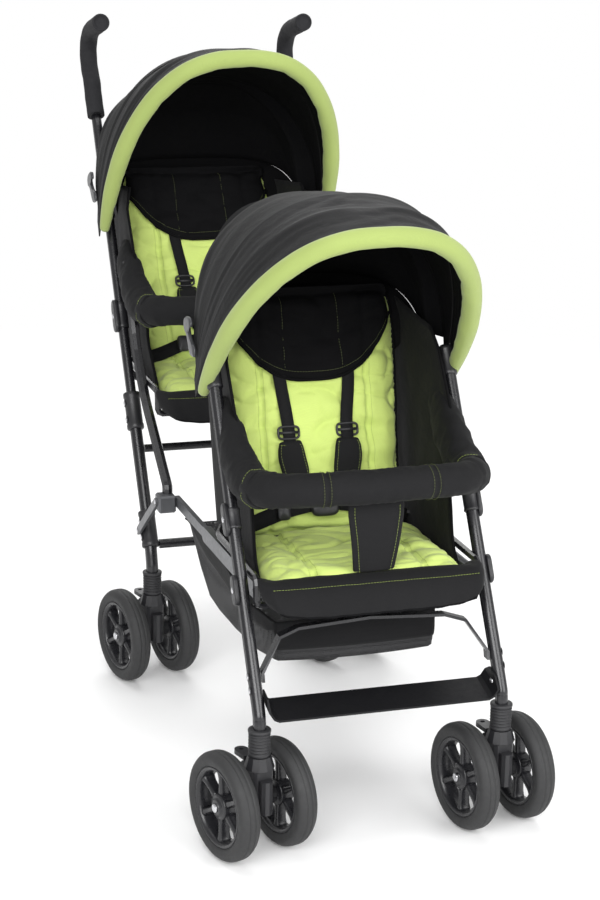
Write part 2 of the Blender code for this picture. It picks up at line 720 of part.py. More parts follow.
def rear_seat_frame(parent):
    """The loop round the rear seat with its two posts and their ties to the legs."""
    loop = moved(seat_tube(POST_X - POST_RADIUS - 0.0035, SEAT_FRONT_Y + 0.0030), REAR_SEAT)
    shapes = []
    for side in SIDES.values():
        knots = [(JOINT_Y + 0.0060, JOINT_Z + 0.0120 + GAP), (JOINT_Y + 0.0060, 0.3740),
                 (0.6340, 0.4170), (0.7360, 0.4850), (0.7940, 0.5480), (0.8650, 0.6910)]
        path = rounded([(side * POST_X, y, z) for y, z in knots], 0.0300, 2)
        shapes.append(tube(path, POST_RADIUS, 2))
        tie_z = 0.6850
        reach = rear_leg_y(tie_z) - HANDLE_RADIUS * 1.15 - GAP - 0.0070
        shapes.append(bar_plate((0.8610, tie_z), (reach, tie_z), 0.0070,
                                POST_X + 0.0020, POST_X + 0.0060, side, 4))
        bumper_z = BUMPER_Z - 0.0150 + REAR_BUMPER.z
        shapes.append(box_sided(side, POST_X - POST_RADIUS - 0.0040, POST_X,
                                BUMPER_END_Y + REAR_BUMPER.y + GAP, 0.8320,
                                bumper_z - 0.0110, bumper_z + 0.0110))
    piece("rear_seat_frame", [fused(loop, *shapes)], parent, BLACK_PAINT, 0.35, 0.5)


def seat(name, parent, offset, lean, panel_front):
    """The cushion with its crown and its hanging black edge, and the two side panels."""
    top = [(FLAP_Y, FLAP_Z), (FLAP_Y + 0.0060, FLAP_Z + 0.0200),
           (FLAP_Y + 0.0230, FLAP_Z + 0.0380), (SEAT_FRONT_Y - 0.0120, SEAT_TOP_FRONT),
           (SEAT_FRONT_Y, SEAT_TOP_FRONT), (0.1200, 0.3850), (0.1700, 0.3830),
           (0.2250, 0.3800), (SEAT_BACK_Y, SEAT_TOP_BACK)]
    bottom = [(FLAP_Y + 0.0080, FLAP_Z), (FLAP_Y + 0.0160, FLAP_Z + 0.0080),
              (FLAP_Y + 0.0270, FLAP_Z + 0.0120), (SEAT_FRONT_Y - 0.0110, SEAT_BOTTOM + 0.003),
              (SEAT_FRONT_Y, SEAT_BOTTOM), (0.1200, SEAT_BOTTOM), (0.1700, SEAT_BOTTOM),
              (0.2250, SEAT_BOTTOM), (SEAT_BACK_Y, SEAT_BOTTOM)]
    halves = [0.158, 0.165, SEAT_NOSE_HALF, SEAT_NOSE_HALF - 0.004] + [SEAT_HALF] * 5
    across, along = 8, len(top) - 1

    def shape(u, v, is_top):
        index = round(v * along)
        y, z = (top if is_top else bottom)[index]
        spread = 2.0 * u - 1.0
        edge = abs(spread) ** 4
        if is_top and index >= 3:
            z += 0.0060 * (1.0 - edge) - 0.0020 * edge
        if index <= 1:
            z += (0.0160 if index == 0 else 0.0060) * abs(spread) ** 6
        return Vector((halves[index] * spread, y, z))

    up, behind = back_frame(lean)
    corner = Vector((0.0, RECLINE_Y, RECLINE_Z)) + up * 0.2900
    outline = [(0.1030, 0.3640), (RECLINE_Y - 0.0060, 0.3640), (RECLINE_Y + 0.0040, 0.3900),
               (corner.y, corner.z), (corner.y - 0.0300, corner.z + 0.0050),
               (panel_front + 0.1000, 0.6500), (panel_front + 0.0700, 0.6060),
               (panel_front + 0.0280, 0.5480), (panel_front, 0.5320), (panel_front, 0.4600),
               (0.1250, 0.3920)]
    panels = [side_plate(outline, PANEL_THICKNESS, side * (PANEL_X + PANEL_THICKNESS / 2.0))
              for side in SIDES.values()]
    body = fused(slab(across, along, shape), *panels)
    piece(name, [moved(body, offset)], parent, LIME_FABRIC, 0.9)


def back_frame(lean):
    """Unit vectors up along the backrest and out of its back, in Y and Z."""
    angle = math.radians(lean)
    up = Vector((0.0, math.sin(angle), math.cos(angle)))
    behind = Vector((0.0, math.cos(angle), -math.sin(angle)))
    return up, behind


def crown(v):
    """How far the middle of the backrest swells forward at a share of its height."""
    return BACK_CROWN * math.sin(math.pi * v)


def backrest(name, parent, lean, offset):
    """The padded back with its two lengthwise seams and its rounded edges."""
    up, behind = back_frame(lean)
    base = Vector((0.0, RECLINE_Y, RECLINE_Z)) + offset
    columns = [-1.0, -0.88, -0.67, -0.61, -0.55, -0.28, 0.0, 0.28, 0.55, 0.61, 0.67, 0.88, 1.0]
    seam = 0.61
    across, along = len(columns) - 1, 9

    def shape(u, v, is_front):
        spread = columns[round(u * across)]
        half = BACK_HALF_LOW + (BACK_HALF_HIGH - BACK_HALF_LOW) * min(1.0, v * 1.4)
        half *= 1.0 - 0.10 * max(0.0, v - 0.88) / 0.12
        edge = abs(spread) ** 5
        depth = BACK_THICKNESS - 0.0060 * edge
        if is_front:
            depth = 0.0060 * edge - crown(v) * (1.0 - edge)
            if abs(abs(spread) - seam) < 0.001 and 0.0 < v < 0.75:
                depth += 0.0045
            if v == 1.0:
                depth += 0.0060
        return base + up * BACK_LENGTH * v + behind * depth + Vector((half * spread, 0.0, 0.0))

    piece(name, [slab(across, along, shape)], parent, LIME_FABRIC, 0.9)


def harness(name, parent, lean, offset):
    """Shoulder straps with their pads, the waist strap and the buckle, on the backrest."""
    up, behind = back_frame(lean)
    base = Vector((0.0, RECLINE_Y, RECLINE_Z)) + offset

    def place(x, length, lift):
        return base + up * length - behind * lift + Vector((x, 0.0, 0.0))

    solids = []
    for side in SIDES.values():
        stations = [(0.2500, 0.0560, 0.0105, 0.0030), (0.2100, 0.0520, 0.0120, 0.0030),
                    (0.1700, 0.0480, 0.0125, 0.0040), (0.1620, 0.0470, 0.0210, 0.0070),
                    (0.1100, 0.0440, 0.0220, 0.0080), (0.0800, 0.0380, 0.0180, 0.0080),
                    (0.0410, 0.0190, 0.0120, 0.0070)]
        across, along = 2, len(stations) - 1

        def shape(u, v, is_front, side=side):
            length, middle, half, thick = stations[round(v * along)]
            spread = 2.0 * u - 1.0
            lift = crown(length / BACK_LENGTH) + 0.0008
            if is_front:
                lift += thick - 0.0012 * abs(spread)
            return place(side * middle + half * spread, length, lift)

        solids.append(slab(across, along, shape))

    def waist(u, v, is_front):
        length = 0.0300 + 0.0200 * v
        lift = crown(length / BACK_LENGTH) + (0.0042 if is_front else 0.0012)
        return place((2.0 * u - 1.0) * 0.0740, length, lift)

    def buckle(u, v, is_front):
        length = 0.0250 + 0.0420 * v
        lift = crown(length / BACK_LENGTH) + (0.0120 if is_front else 0.0018)
        return place((2.0 * u - 1.0) * (0.0200 - 0.0030 * v), length, lift)

    body = fused(*solids, slab(4, 1, waist), slab(1, 1, buckle))
    piece(name, [body], parent, BLACK_FABRIC, 0.85)


def bumper(name, parent, offset):
    """The padded bar in front of the child, with the crotch panel under its middle."""
    half = [(0.1620, BUMPER_END_Y, BUMPER_Z - 0.0130), (0.1620, 0.1150, BUMPER_Z - 0.0130),
            (0.1500, 0.0640, BUMPER_Z - 0.0060), (0.1050, 0.0360, BUMPER_Z - 0.0020),
            (0.0450, 0.0290, BUMPER_Z)]
    path = [Vector(point) for point in half]
    path += [Vector((-point[0], point[1], point[2])) for point in reversed(half)]
    bar = tube(rounded(path, 0.0200, 2), BUMPER_RADIUS, 3)
    low = Vector((0.0, 0.0640, SEAT_TOP_FRONT + 0.0130))
    high = Vector((0.0, 0.0400, BUMPER_Z - 0.0120))

    def panel(u, v, is_front):
        middle = low.lerp(high, v)
        half_width = 0.0240 + 0.0110 * v
        thick = 0.0050 if is_front else -0.0050
        return middle + Vector(((2.0 * u - 1.0) * half_width, -thick, -thick * 0.5))

    body = fused(bar, slab(2, 4, panel))
    piece(name, [moved(body, offset)], parent, BLACK_FABRIC, 0.85)


# Canopies

BOW_LOWS = [(0.2850, 0.5940), (0.2880, 0.6060), (0.2920, 0.6200)]
BOW_HIGHS = [(0.0350, 0.8770), (0.1100, 0.8960), (0.2000, 0.9020)]
BACK_LOWS = [(0.2920, 0.6220), (0.2980, 0.6420), (0.3020, 0.6610), (0.3060, 0.6690),
             (0.3180, 0.6730), (0.3300, 0.6770)]
BACK_HIGHS = [(0.1820, 0.8890), (0.2930, 0.8900), (0.3650, 0.8810), (0.3800, 0.8720),
              (0.4240, 0.8200), (0.4520, 0.7400)]


def hood(lows, highs, halves, across=16):
    """A thin curved sheet through one arch after another."""
    count = len(lows) - 1

    def shape(u, v, is_outer):
        index = round(v * count)
        inset = 0.0 if is_outer else CANOPY_WALL
        low, high = Vector(lows[index]), Vector(highs[index])
        peak = high - (high - low).normalized() * inset
        square = PANEL_SQUARE if halves[index] <= BACK_PANEL_HALF else CANOPY_SQUARE
        return arch(halves[index] - inset, low, peak, across, square)[round(u * across)]

    return slab(across, count, shape)


def turned_back(bm, degrees, offset):
    """Turned about the canopy's hinge and moved to its own seat."""
    hinge = Matrix.Translation((0.0, CANOPY_PIVOT_Y, CANOPY_PIVOT_Z))
    bm.transform(hinge @ Matrix.Rotation(math.radians(-degrees), 4, "X") @ hinge.inverted())
    return moved(bm, offset)


def canopy(name, parent, offset, turn, extra):
    """The moving hood: its sheet, the padded edge round its front and its side levers."""
    outer = CANOPY_HALF + extra
    sheet = hood(BOW_LOWS, BOW_HIGHS, [outer] * len(BOW_LOWS))
    low, high = Vector(BOW_LOWS[0]), Vector(BOW_HIGHS[0])
    ahead = (high - Vector(BOW_HIGHS[1])).normalized() * (TRIM_RADIUS * 0.55)
    trim = [point + Vector((0.0, ahead.x, ahead.y)) for point in
            arch(outer - 0.0080, low + Vector((0.0, 0.0060)),
                 high - Vector((0.0, 0.0070)), 16)]
    shapes = [tube(trim[1:-1], TRIM_RADIUS, 2)]
    for side in SIDES.values():
        shapes.append(bar_plate((0.2820, 0.6200), (0.2600, 0.6680), 0.0080,
                                outer - 0.0030, outer + 0.0050, side))
    body = turned_back(fused(sheet, *shapes), turn, offset)
    piece(name, [body], parent, BLACK_FABRIC, 0.85)


def canopy_back(name, parent, offset, turn, extra):
    """The fixed rear of the hood, under the moving part, and the panel behind the child."""
    halves = [FIXED_HALF + extra] * 3 + [BACK_PANEL_HALF] * 3
    body = turned_back(hood(BACK_LOWS, BACK_HIGHS, halves), turn, offset)
    piece(name, [body], parent, BLACK_FABRIC, 0.85)


# Footrest and brace

def footrest(parent):
    """A flat bar across the legs whose ends turn up to their hinges."""
    end = FRONT_LEG_X - LEG_RADIUS - GAP
    half_depth, thick = 0.0260, 0.0030
    middle_y, floor_z = front_leg_y(0.2220) + 0.0020, 0.2125
    ends = [(end - thick, 0.0240), (end - thick, 0.0120), (end - 0.0090, 0.0030),
            (end - 0.0150, 0.0)]
    rows = [(-x, z) for x, z in ends] + [(x, z) for x, z in reversed(ends)]
    lifts = [(-1.0, 0.0), (-1.0, -0.1), (-0.7, -0.7), (0.0, -1.0), (0.0, -1.0), (0.7, -0.7),
             (1.0, -0.1), (1.0, 0.0)]
    across, along = len(rows) - 1, 3

    def shape(u, v, is_inner):
        index = round(u * across)
        x, rise = rows[index]
        depth = half_depth * (2.0 * v - 1.0)
        if index in (0, across):
            depth *= 0.45
        push = Vector((lifts[index][0], 0.0, lifts[index][1])) * (0.0 if is_inner else thick)
        point = Vector((x, middle_y + depth, floor_z + rise + depth * 0.25))
        return point + push

    body = slab(across, along, shape)
    piece("footrest", [body], parent, BLACK_PAINT, 0.4, 0.3)


def front_brace(parent):
    """One flat bar bent from leg to leg under the front of the seat."""
    foot_x = FRONT_LEG_X - LEG_RADIUS - GAP - 0.0025
    half = [(foot_x, FRONT_LEG_Y, FRONT_LEG_Z - 0.0080, 1.0, 0.0),
            (foot_x, FRONT_LEG_Y + 0.0040, FRONT_LEG_Z + 0.0040, 1.0, 0.15),
            (0.1400, 0.0400, 0.3050, 0.5, 0.86), (0.1100, 0.0480, 0.3130, 0.0, 1.0)]
    stations = [(-x, y, z, -a, b) for x, y, z, a, b in half]
    stations += [(0.0, 0.0600, 0.3150, 0.0, 1.0)]
    stations += [row for row in reversed(half)]
    across, along = 1, len(stations) - 1

    def shape(u, v, is_outer):
        x, y, z, side_lift, top_lift = stations[round(v * along)]
        push = 0.0022 if is_outer else -0.0022
        return Vector((x + side_lift * push, y + 0.0070 * (2.0 * u - 1.0), z + top_lift * push))

    piece("front_brace", [slab(across, along, shape)], parent, BLACK_PAINT, 0.4, 0.3)


def build():
    buggy = axis_empty("buggy", (0.0, 0.0, 0.0))
    buggy.location = (0.0, -HALF_LENGTH, 0.0)
    fold = axis_empty("fold_axis", (0.0, JOINT_Y, JOINT_Z), buggy)
    front = axis_empty("front_frame_axis", (0.0, front_leg_y(RAIL_FRONT_Z), RAIL_FRONT_Z), fold)
    hang = axis_empty("footrest_axis", (0.0, front_leg_y(0.2220), 0.2220), front)

    for side in SIDES.values():
        rear_leg(side, buggy)
        rear_bracket(side, buggy)
        handle_grip(side, buggy)
        side_rail(side, fold)
        front_leg(side, front)
    rear_cross_frame(buggy)
    rear_seat_frame(buggy)
    basket(fold)
    front_seat_frame(front)
    front_brace(front)
    footrest(hang)

    nothing = Vector((0.0, 0.0, 0.0))
    rows = (("front", front, nothing, nothing, nothing, FRONT_LEAN, 0.0, 0.0, FRONT_PANEL_Y),
            ("rear", buggy, REAR_SEAT, REAR_BUMPER, REAR_CANOPY, REAR_LEAN, REAR_CANOPY_TURN,
             REAR_CANOPY_EXTRA, REAR_PANEL_Y))
    for row, frame, seat_at, bumper_at, canopy_at, lean, turn, extra, panel_y in rows:
        recline = axis_empty(f"{row}_recline_axis",
                             Vector((0.0, RECLINE_Y, RECLINE_Z)) + seat_at, frame)
        hood_axis = axis_empty(f"{row}_canopy_axis",
                               Vector((0.0, CANOPY_PIVOT_Y, CANOPY_PIVOT_Z)) + canopy_at, frame)
        seat(f"{row}_seat", frame, seat_at, lean, panel_y)
        backrest(f"{row}_backrest", recline, lean, seat_at)
        harness(f"{row}_harness", recline, lean, seat_at)
        bumper(f"{row}_bumper", frame, bumper_at)
        canopy(f"{row}_canopy", hood_axis, canopy_at, turn, extra)
        canopy_back(f"{row}_canopy_back", frame, canopy_at, turn, extra)

    for name, x, y, parent in (("front_left", FRONT_SWIVEL_X, FRONT_SWIVEL_Y, front),
                               ("front_right", FRONT_SWIVEL_X, FRONT_SWIVEL_Y, front),
                               ("rear_left", REAR_SWIVEL_X, REAR_SWIVEL_Y, buggy),
                               ("rear_right", REAR_SWIVEL_X, REAR_SWIVEL_Y, buggy)):
        caster(name, x, y, parent)


clear_scene()
PARTS = new_collection("tandem_buggy")
CUTTERS = new_collection("cutters")
build()
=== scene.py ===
"""The looks of the tandem buggy: fabrics, tubes, wheels, light and camera.

Metres, +Z up. Shapes are drawn with y from the line through the front axles, as the solids
are, and moved back by AXLE_LINE when they become a piece.
"""

import math

import bmesh
import bpy
from bpy.props import FloatProperty, FloatVectorProperty, IntProperty, PointerProperty
from mathutils import Matrix, Vector
from mathutils.bvhtree import BVHTree
from mathutils.noise import noise


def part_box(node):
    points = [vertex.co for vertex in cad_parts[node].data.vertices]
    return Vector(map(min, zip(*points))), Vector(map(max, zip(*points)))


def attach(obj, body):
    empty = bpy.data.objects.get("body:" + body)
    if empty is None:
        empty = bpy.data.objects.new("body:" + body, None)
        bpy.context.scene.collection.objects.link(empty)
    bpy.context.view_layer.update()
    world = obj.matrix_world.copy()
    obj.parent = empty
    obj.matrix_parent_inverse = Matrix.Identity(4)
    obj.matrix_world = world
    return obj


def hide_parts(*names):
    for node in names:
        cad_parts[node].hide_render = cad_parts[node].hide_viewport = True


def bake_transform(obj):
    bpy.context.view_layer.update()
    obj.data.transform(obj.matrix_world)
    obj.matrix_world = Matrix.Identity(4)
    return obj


bl_info = {
    "name": "Tandem Buggy",
    "version": (1, 0, 0),
    "blender": (4, 5, 0),
    "location": "3D View > Sidebar > Buggy",
    "description": "Two padded seats in line on four twin-wheel casters",
    "category": "Object",
}

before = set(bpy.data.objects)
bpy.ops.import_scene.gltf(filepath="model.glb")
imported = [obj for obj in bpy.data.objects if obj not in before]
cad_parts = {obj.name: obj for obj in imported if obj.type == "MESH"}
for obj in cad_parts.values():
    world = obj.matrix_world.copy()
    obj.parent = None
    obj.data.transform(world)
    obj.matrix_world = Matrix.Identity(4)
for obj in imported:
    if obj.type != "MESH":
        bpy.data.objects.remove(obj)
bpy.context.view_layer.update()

AXLE_LINE = -0.5300
TURN = 2.0 * math.pi
SIDES = {"left": -1.0, "right": 1.0}
CASTERS = ("front_left", "front_right", "rear_left", "rear_right")
ACROSS = Vector((1.0, 0.0, 0.0))
REARWARD = Vector((0.0, 1.0, 0.0))
UP = Vector((0.0, 0.0, 1.0))

# Rows: the bodies of the frame, back and hood, the places of the seat, bumper and hood, the
# back's lean and the hood's turn in degrees, how much wider the hood is, and where the front
# edge of the side panels stands
ROWS = {
    "front": {"frame": "front_frame", "back": "front_back", "hood": "front_hood",
              "seat": Vector((0.0, 0.0, 0.0)), "bumper": Vector((0.0, 0.0, 0.0)),
              "canopy": Vector((0.0, 0.0, 0.0)), "lean": 17.7, "turn": 0.0, "wider": 0.0,
              "panel": 0.1420},
    "rear": {"frame": "rear_frame", "back": "rear_back", "hood": "rear_hood",
             "seat": Vector((0.0, 0.6250, 0.1200)), "bumper": Vector((0.0, 0.6650, 0.1180)),
             "canopy": Vector((0.0, 0.6680, 0.1280)), "lean": 30.0, "turn": 12.0,
             "wider": 0.0080, "panel": 0.1820},
}
HINGE = (0.2780, 0.3770)
HOOD_PIVOT = (0.2830, 0.6400)


# Settings

class BuggyColours(bpy.types.PropertyGroup):
    lime: FloatVectorProperty(name="Lime", description="Colour of the seat fabric",
                              subtype="COLOR", size=3, default=(0.530, 0.655, 0.168))
    # The padded edge's colour is the seat lime darkened to about half: painted shade on the hood's
    # edge
    shaded_lime_edge: FloatVectorProperty(name="Lime edge", description="Colour of the padded edge",
                                   subtype="COLOR", size=3, default=(0.275, 0.345, 0.092))
    black: FloatVectorProperty(name="Black", description="Colour of the black fabric",
                               subtype="COLOR", size=3, default=(0.0075, 0.0075, 0.0082))
    charcoal: FloatVectorProperty(name="Charcoal", description="Colour of the hoods",
                                  subtype="COLOR", size=3, default=(0.0080, 0.0081, 0.0086))
    tube: FloatVectorProperty(name="Tube", description="Colour of the painted tubes",
                              subtype="COLOR", size=3, default=(0.010, 0.010, 0.012))


class BuggySizes(bpy.types.PropertyGroup):
    hood_half: FloatProperty(name="Hood half width", description="Middle to the outer side",
                             subtype="DISTANCE", unit="LENGTH", default=0.1996)
    edge_radius: FloatProperty(name="Edge radius", description="Radius of the padded edge",
                               subtype="DISTANCE", unit="LENGTH", default=0.0148)
    bumper_radius: FloatProperty(name="Bumper radius", description="Radius of the padded bar",
                                 subtype="DISTANCE", unit="LENGTH", default=0.0252)
    stitch_gap: FloatProperty(name="Stitch spacing", description="From stitch to stitch",
                              subtype="DISTANCE", unit="LENGTH", default=0.0042)
    spokes: IntProperty(name="Spokes", description="Spokes of each wheel", default=6,
                        min=3, max=12)
    tyre_radius: FloatProperty(name="Tyre radius", description="Radius of each wheel",
                               subtype="DISTANCE", unit="LENGTH", default=0.0790)


def colour(name):
    return (*getattr(bpy.context.scene.buggy_colours, name), 1.0)


def size(name):
    return getattr(bpy.context.scene.buggy_sizes, name)


# Nodes

def node(tree, kind, inputs=None, **settings):
    """A node with its settings; each input is a socket to link or a value to set."""
    made = tree.nodes.new(kind)
    for key, value in settings.items():
        setattr(made, key, value)
    for key, value in (inputs or {}).items():
        if isinstance(value, bpy.types.NodeSocket):
            tree.links.new(value, made.inputs[key])
        else:
            made.inputs[key].default_value = value
    return made


def maths(tree, operation, first, second=0.0):
    made = node(tree, "ShaderNodeMath", {0: first, 1: second}, operation=operation)
    return made.outputs[0]


def weighted(tree, *parts):
    """The sum of the sockets, each times its own weight."""
    total = None
    for socket, weight in parts:
        term = maths(tree, "MULTIPLY", socket, weight)
        total = term if total is None else maths(tree, "ADD", total, term)
    return total


def send(tree, end, **results):
    for label, socket in results.items():
        tree.links.new(socket, end.inputs[label])


def shader_group(name, inputs, outputs):
    group = bpy.data.node_groups.new(name, "ShaderNodeTree")
    for label, kind, default in inputs:
        socket = group.interface.new_socket(name=label, in_out="INPUT", socket_type=kind)
        if default is not None:
            socket.default_value = default
    for label, kind in outputs:
        group.interface.new_socket(name=label, in_out="OUTPUT", socket_type=kind)
    return group, group.nodes.new("NodeGroupInput"), group.nodes.new("NodeGroupOutput")


SURFACE_INPUTS = [("Place", "NodeSocketVector", None),
                  ("Colour", "NodeSocketColor", (0.5, 0.5, 0.5, 1.0)),
                  ("Scale", "NodeSocketFloat", 1.0), ("Amount", "NodeSocketFloat", 1.0),
                  ("Rough", "NodeSocketFloat", 0.5)]
SURFACE_OUTPUTS = [("Colour", "NodeSocketColor"), ("Roughness", "NodeSocketFloat"),
                   ("Height", "NodeSocketFloat")]


def shaded(tree, source, low, high, colour_socket):
    """The colour made darker or lighter by a mask, from low to high times."""
    scaled = node(tree, "ShaderNodeMapRange", {"Value": source, "To Min": low, "To Max": high})
    mixed = node(tree, "ShaderNodeVectorMath", {0: colour_socket}, operation="SCALE")
    tree.links.new(scaled.outputs[0], mixed.inputs["Scale"])
    return mixed.outputs[0]


def cloth_group():
    """Woven fabric: threads both ways, soft puckers and a slow change of shade."""
    group, start, end = shader_group("woven_cloth", SURFACE_INPUTS, SURFACE_OUTPUTS)
    place, scale = start.outputs["Place"], start.outputs["Scale"]
    slow = node(group, "ShaderNodeTexNoise",
                {"Vector": place, "Scale": 9.0, "Detail": 4.0, "Roughness": 0.55})
    folds = node(group, "ShaderNodeTexNoise",
                 {"Vector": place, "Scale": 34.0, "Detail": 3.0, "Roughness": 0.5,
                  "Distortion": 0.6})
    threads = []
    for direction in ("X", "Z", "Y"):
        wave = node(group, "ShaderNodeTexWave",
                    {"Vector": place, "Scale": scale, "Distortion": 1.2, "Detail": 1.0,
                     "Detail Scale": 3.0},
                    wave_type="BANDS", bands_direction=direction)
        threads.append(wave.outputs["Fac"])
    weave = maths(group, "MAXIMUM", maths(group, "MAXIMUM", threads[0], threads[1]), threads[2])
    lint = node(group, "ShaderNodeTexNoise", {"Vector": place, "Scale": 900.0, "Detail": 2.0})
    tone = weighted(group, (slow.outputs["Fac"], 0.55), (weave, 0.30),
                    (lint.outputs["Fac"], 0.15))
    rough = maths(group, "ADD", start.outputs["Rough"],
                  maths(group, "MULTIPLY", maths(group, "SUBTRACT", weave, 0.5), 0.10))
    height = weighted(group, (folds.outputs["Fac"], start.outputs["Amount"]), (weave, 0.045))
    send(group, end, Colour=shaded(group, tone, 0.80, 1.16, start.outputs["Colour"]),
         Roughness=rough, Height=height)
    return group


def moulded_group():
    """Plastic, rubber, foam or paint: fine grain, mottling and a little rubbed dust."""
    group, start, end = shader_group("moulded_surface", SURFACE_INPUTS, SURFACE_OUTPUTS)
    place = start.outputs["Place"]
    grain = node(group, "ShaderNodeTexNoise",
                 {"Vector": place, "Scale": start.outputs["Scale"], "Detail": 2.0})
    slow = node(group, "ShaderNodeTexNoise", {"Vector": place, "Scale": 22.0, "Detail": 3.0})
    scuffs = node(group, "ShaderNodeTexNoise",
                  {"Vector": place, "Scale": 140.0, "Detail": 5.0, "Roughness": 0.7})
    tone = weighted(group, (slow.outputs["Fac"], 0.6), (grain.outputs["Fac"], 0.4))
    mask = node(group, "ShaderNodeMapRange",
                {"Value": scuffs.outputs["Fac"], "From Min": 0.35, "From Max": 0.75,
                 "To Min": -0.06, "To Max": 0.10})
    send(group, end, Colour=shaded(group, tone, 0.82, 1.18, start.outputs["Colour"]),
         Roughness=maths(group, "ADD", start.outputs["Rough"], mask.outputs[0]),
         Height=maths(group, "MULTIPLY", grain.outputs["Fac"], start.outputs["Amount"]))
    return group


def webbing_group():
    """Strap webbing: ribs along the strap from its own map, and the thread across."""
    group, start, end = shader_group("strap_webbing", SURFACE_INPUTS, SURFACE_OUTPUTS)
    place = start.outputs["Place"]
    ribs = node(group, "ShaderNodeTexWave",
                {"Vector": place, "Scale": start.outputs["Scale"], "Distortion": 0.2},
                wave_type="BANDS", bands_direction="X")
    cross = node(group, "ShaderNodeTexWave",
                 {"Vector": place, "Scale": start.outputs["Scale"], "Distortion": 0.6},
                 wave_type="BANDS", bands_direction="Y")
    both = weighted(group, (ribs.outputs["Fac"], 0.7), (cross.outputs["Fac"], 0.3))
    send(group, end, Colour=shaded(group, both, 0.70, 1.25, start.outputs["Colour"]),
         Roughness=maths(group, "ADD", start.outputs["Rough"],
                         maths(group, "MULTIPLY", both, -0.06)),
         Height=maths(group, "MULTIPLY", both, start.outputs["Amount"]))
    return group


def netting_group():
    """Knitted net: round holes in rows, seen in the bump and in the alpha."""
    outputs = [*SURFACE_OUTPUTS, ("Alpha", "NodeSocketFloat")]
    group, start, end = shader_group("knitted_net", SURFACE_INPUTS, outputs)
    cells = node(group, "ShaderNodeTexVoronoi",
                 {"Vector": start.outputs["Place"], "Scale": start.outputs["Scale"],
                  "Randomness": 0.25})
    hole = node(group, "ShaderNodeMapRange",
                {"Value": cells.outputs["Distance"], "From Min": 0.26, "From Max": 0.36})
    see = node(group, "ShaderNodeMapRange",
               {"Value": cells.outputs["Distance"], "From Min": 0.30, "From Max": 0.36,
                "To Min": 0.05, "To Max": 1.0})
    send(group, end, Colour=shaded(group, hole.outputs[0], 0.35, 1.5, start.outputs["Colour"]),
         Roughness=start.outputs["Rough"],
         Height=maths(group, "MULTIPLY", hole.outputs[0], start.outputs["Amount"]),
         Alpha=see.outputs[0])
    return group


GROUPS = {}
MATERIALS = {}


def finish(name, group, base, scale=200.0, amount=0.3, rough=0.8, depth=0.001, metallic=0.0,
           sheen=0.0, coat=0.0, specular=0.5, from_map=False):
    """A material whose colour, roughness and bump come from one of the groups."""
    material = bpy.data.materials.new(name)
    material.use_nodes = True
    tree = material.node_tree
    shader = tree.nodes["Principled BSDF"]
    place = node(tree, "ShaderNodeTexCoord").outputs["UV" if from_map else "Object"]
    effect = node(tree, "ShaderNodeGroup", node_tree=GROUPS[group])
    tree.links.new(place, effect.inputs["Place"])
    for label, value in (("Colour", base), ("Scale", scale), ("Amount", amount),
                         ("Rough", rough)):
        effect.inputs[label].default_value = value
    tree.links.new(effect.outputs["Colour"], shader.inputs["Base Color"])
    tree.links.new(effect.outputs["Roughness"], shader.inputs["Roughness"])
    bump = node(tree, "ShaderNodeBump", {"Strength": 0.8, "Distance": depth,
                                         "Height": effect.outputs["Height"]})
    tree.links.new(bump.outputs["Normal"], shader.inputs["Normal"])
    if "Alpha" in effect.outputs:
        tree.links.new(effect.outputs["Alpha"], shader.inputs["Alpha"])
    shader.inputs["Metallic"].default_value = metallic
    shader.inputs["Sheen Weight"].default_value = sheen
    shader.inputs["Sheen Roughness"].default_value = 0.5
    shader.inputs["Coat Weight"].default_value = coat
    shader.inputs["Coat Roughness"].default_value = 0.2
    shader.inputs["Specular IOR Level"].default_value = specular
    material.diffuse_color = base
    MATERIALS[name] = material
    return material


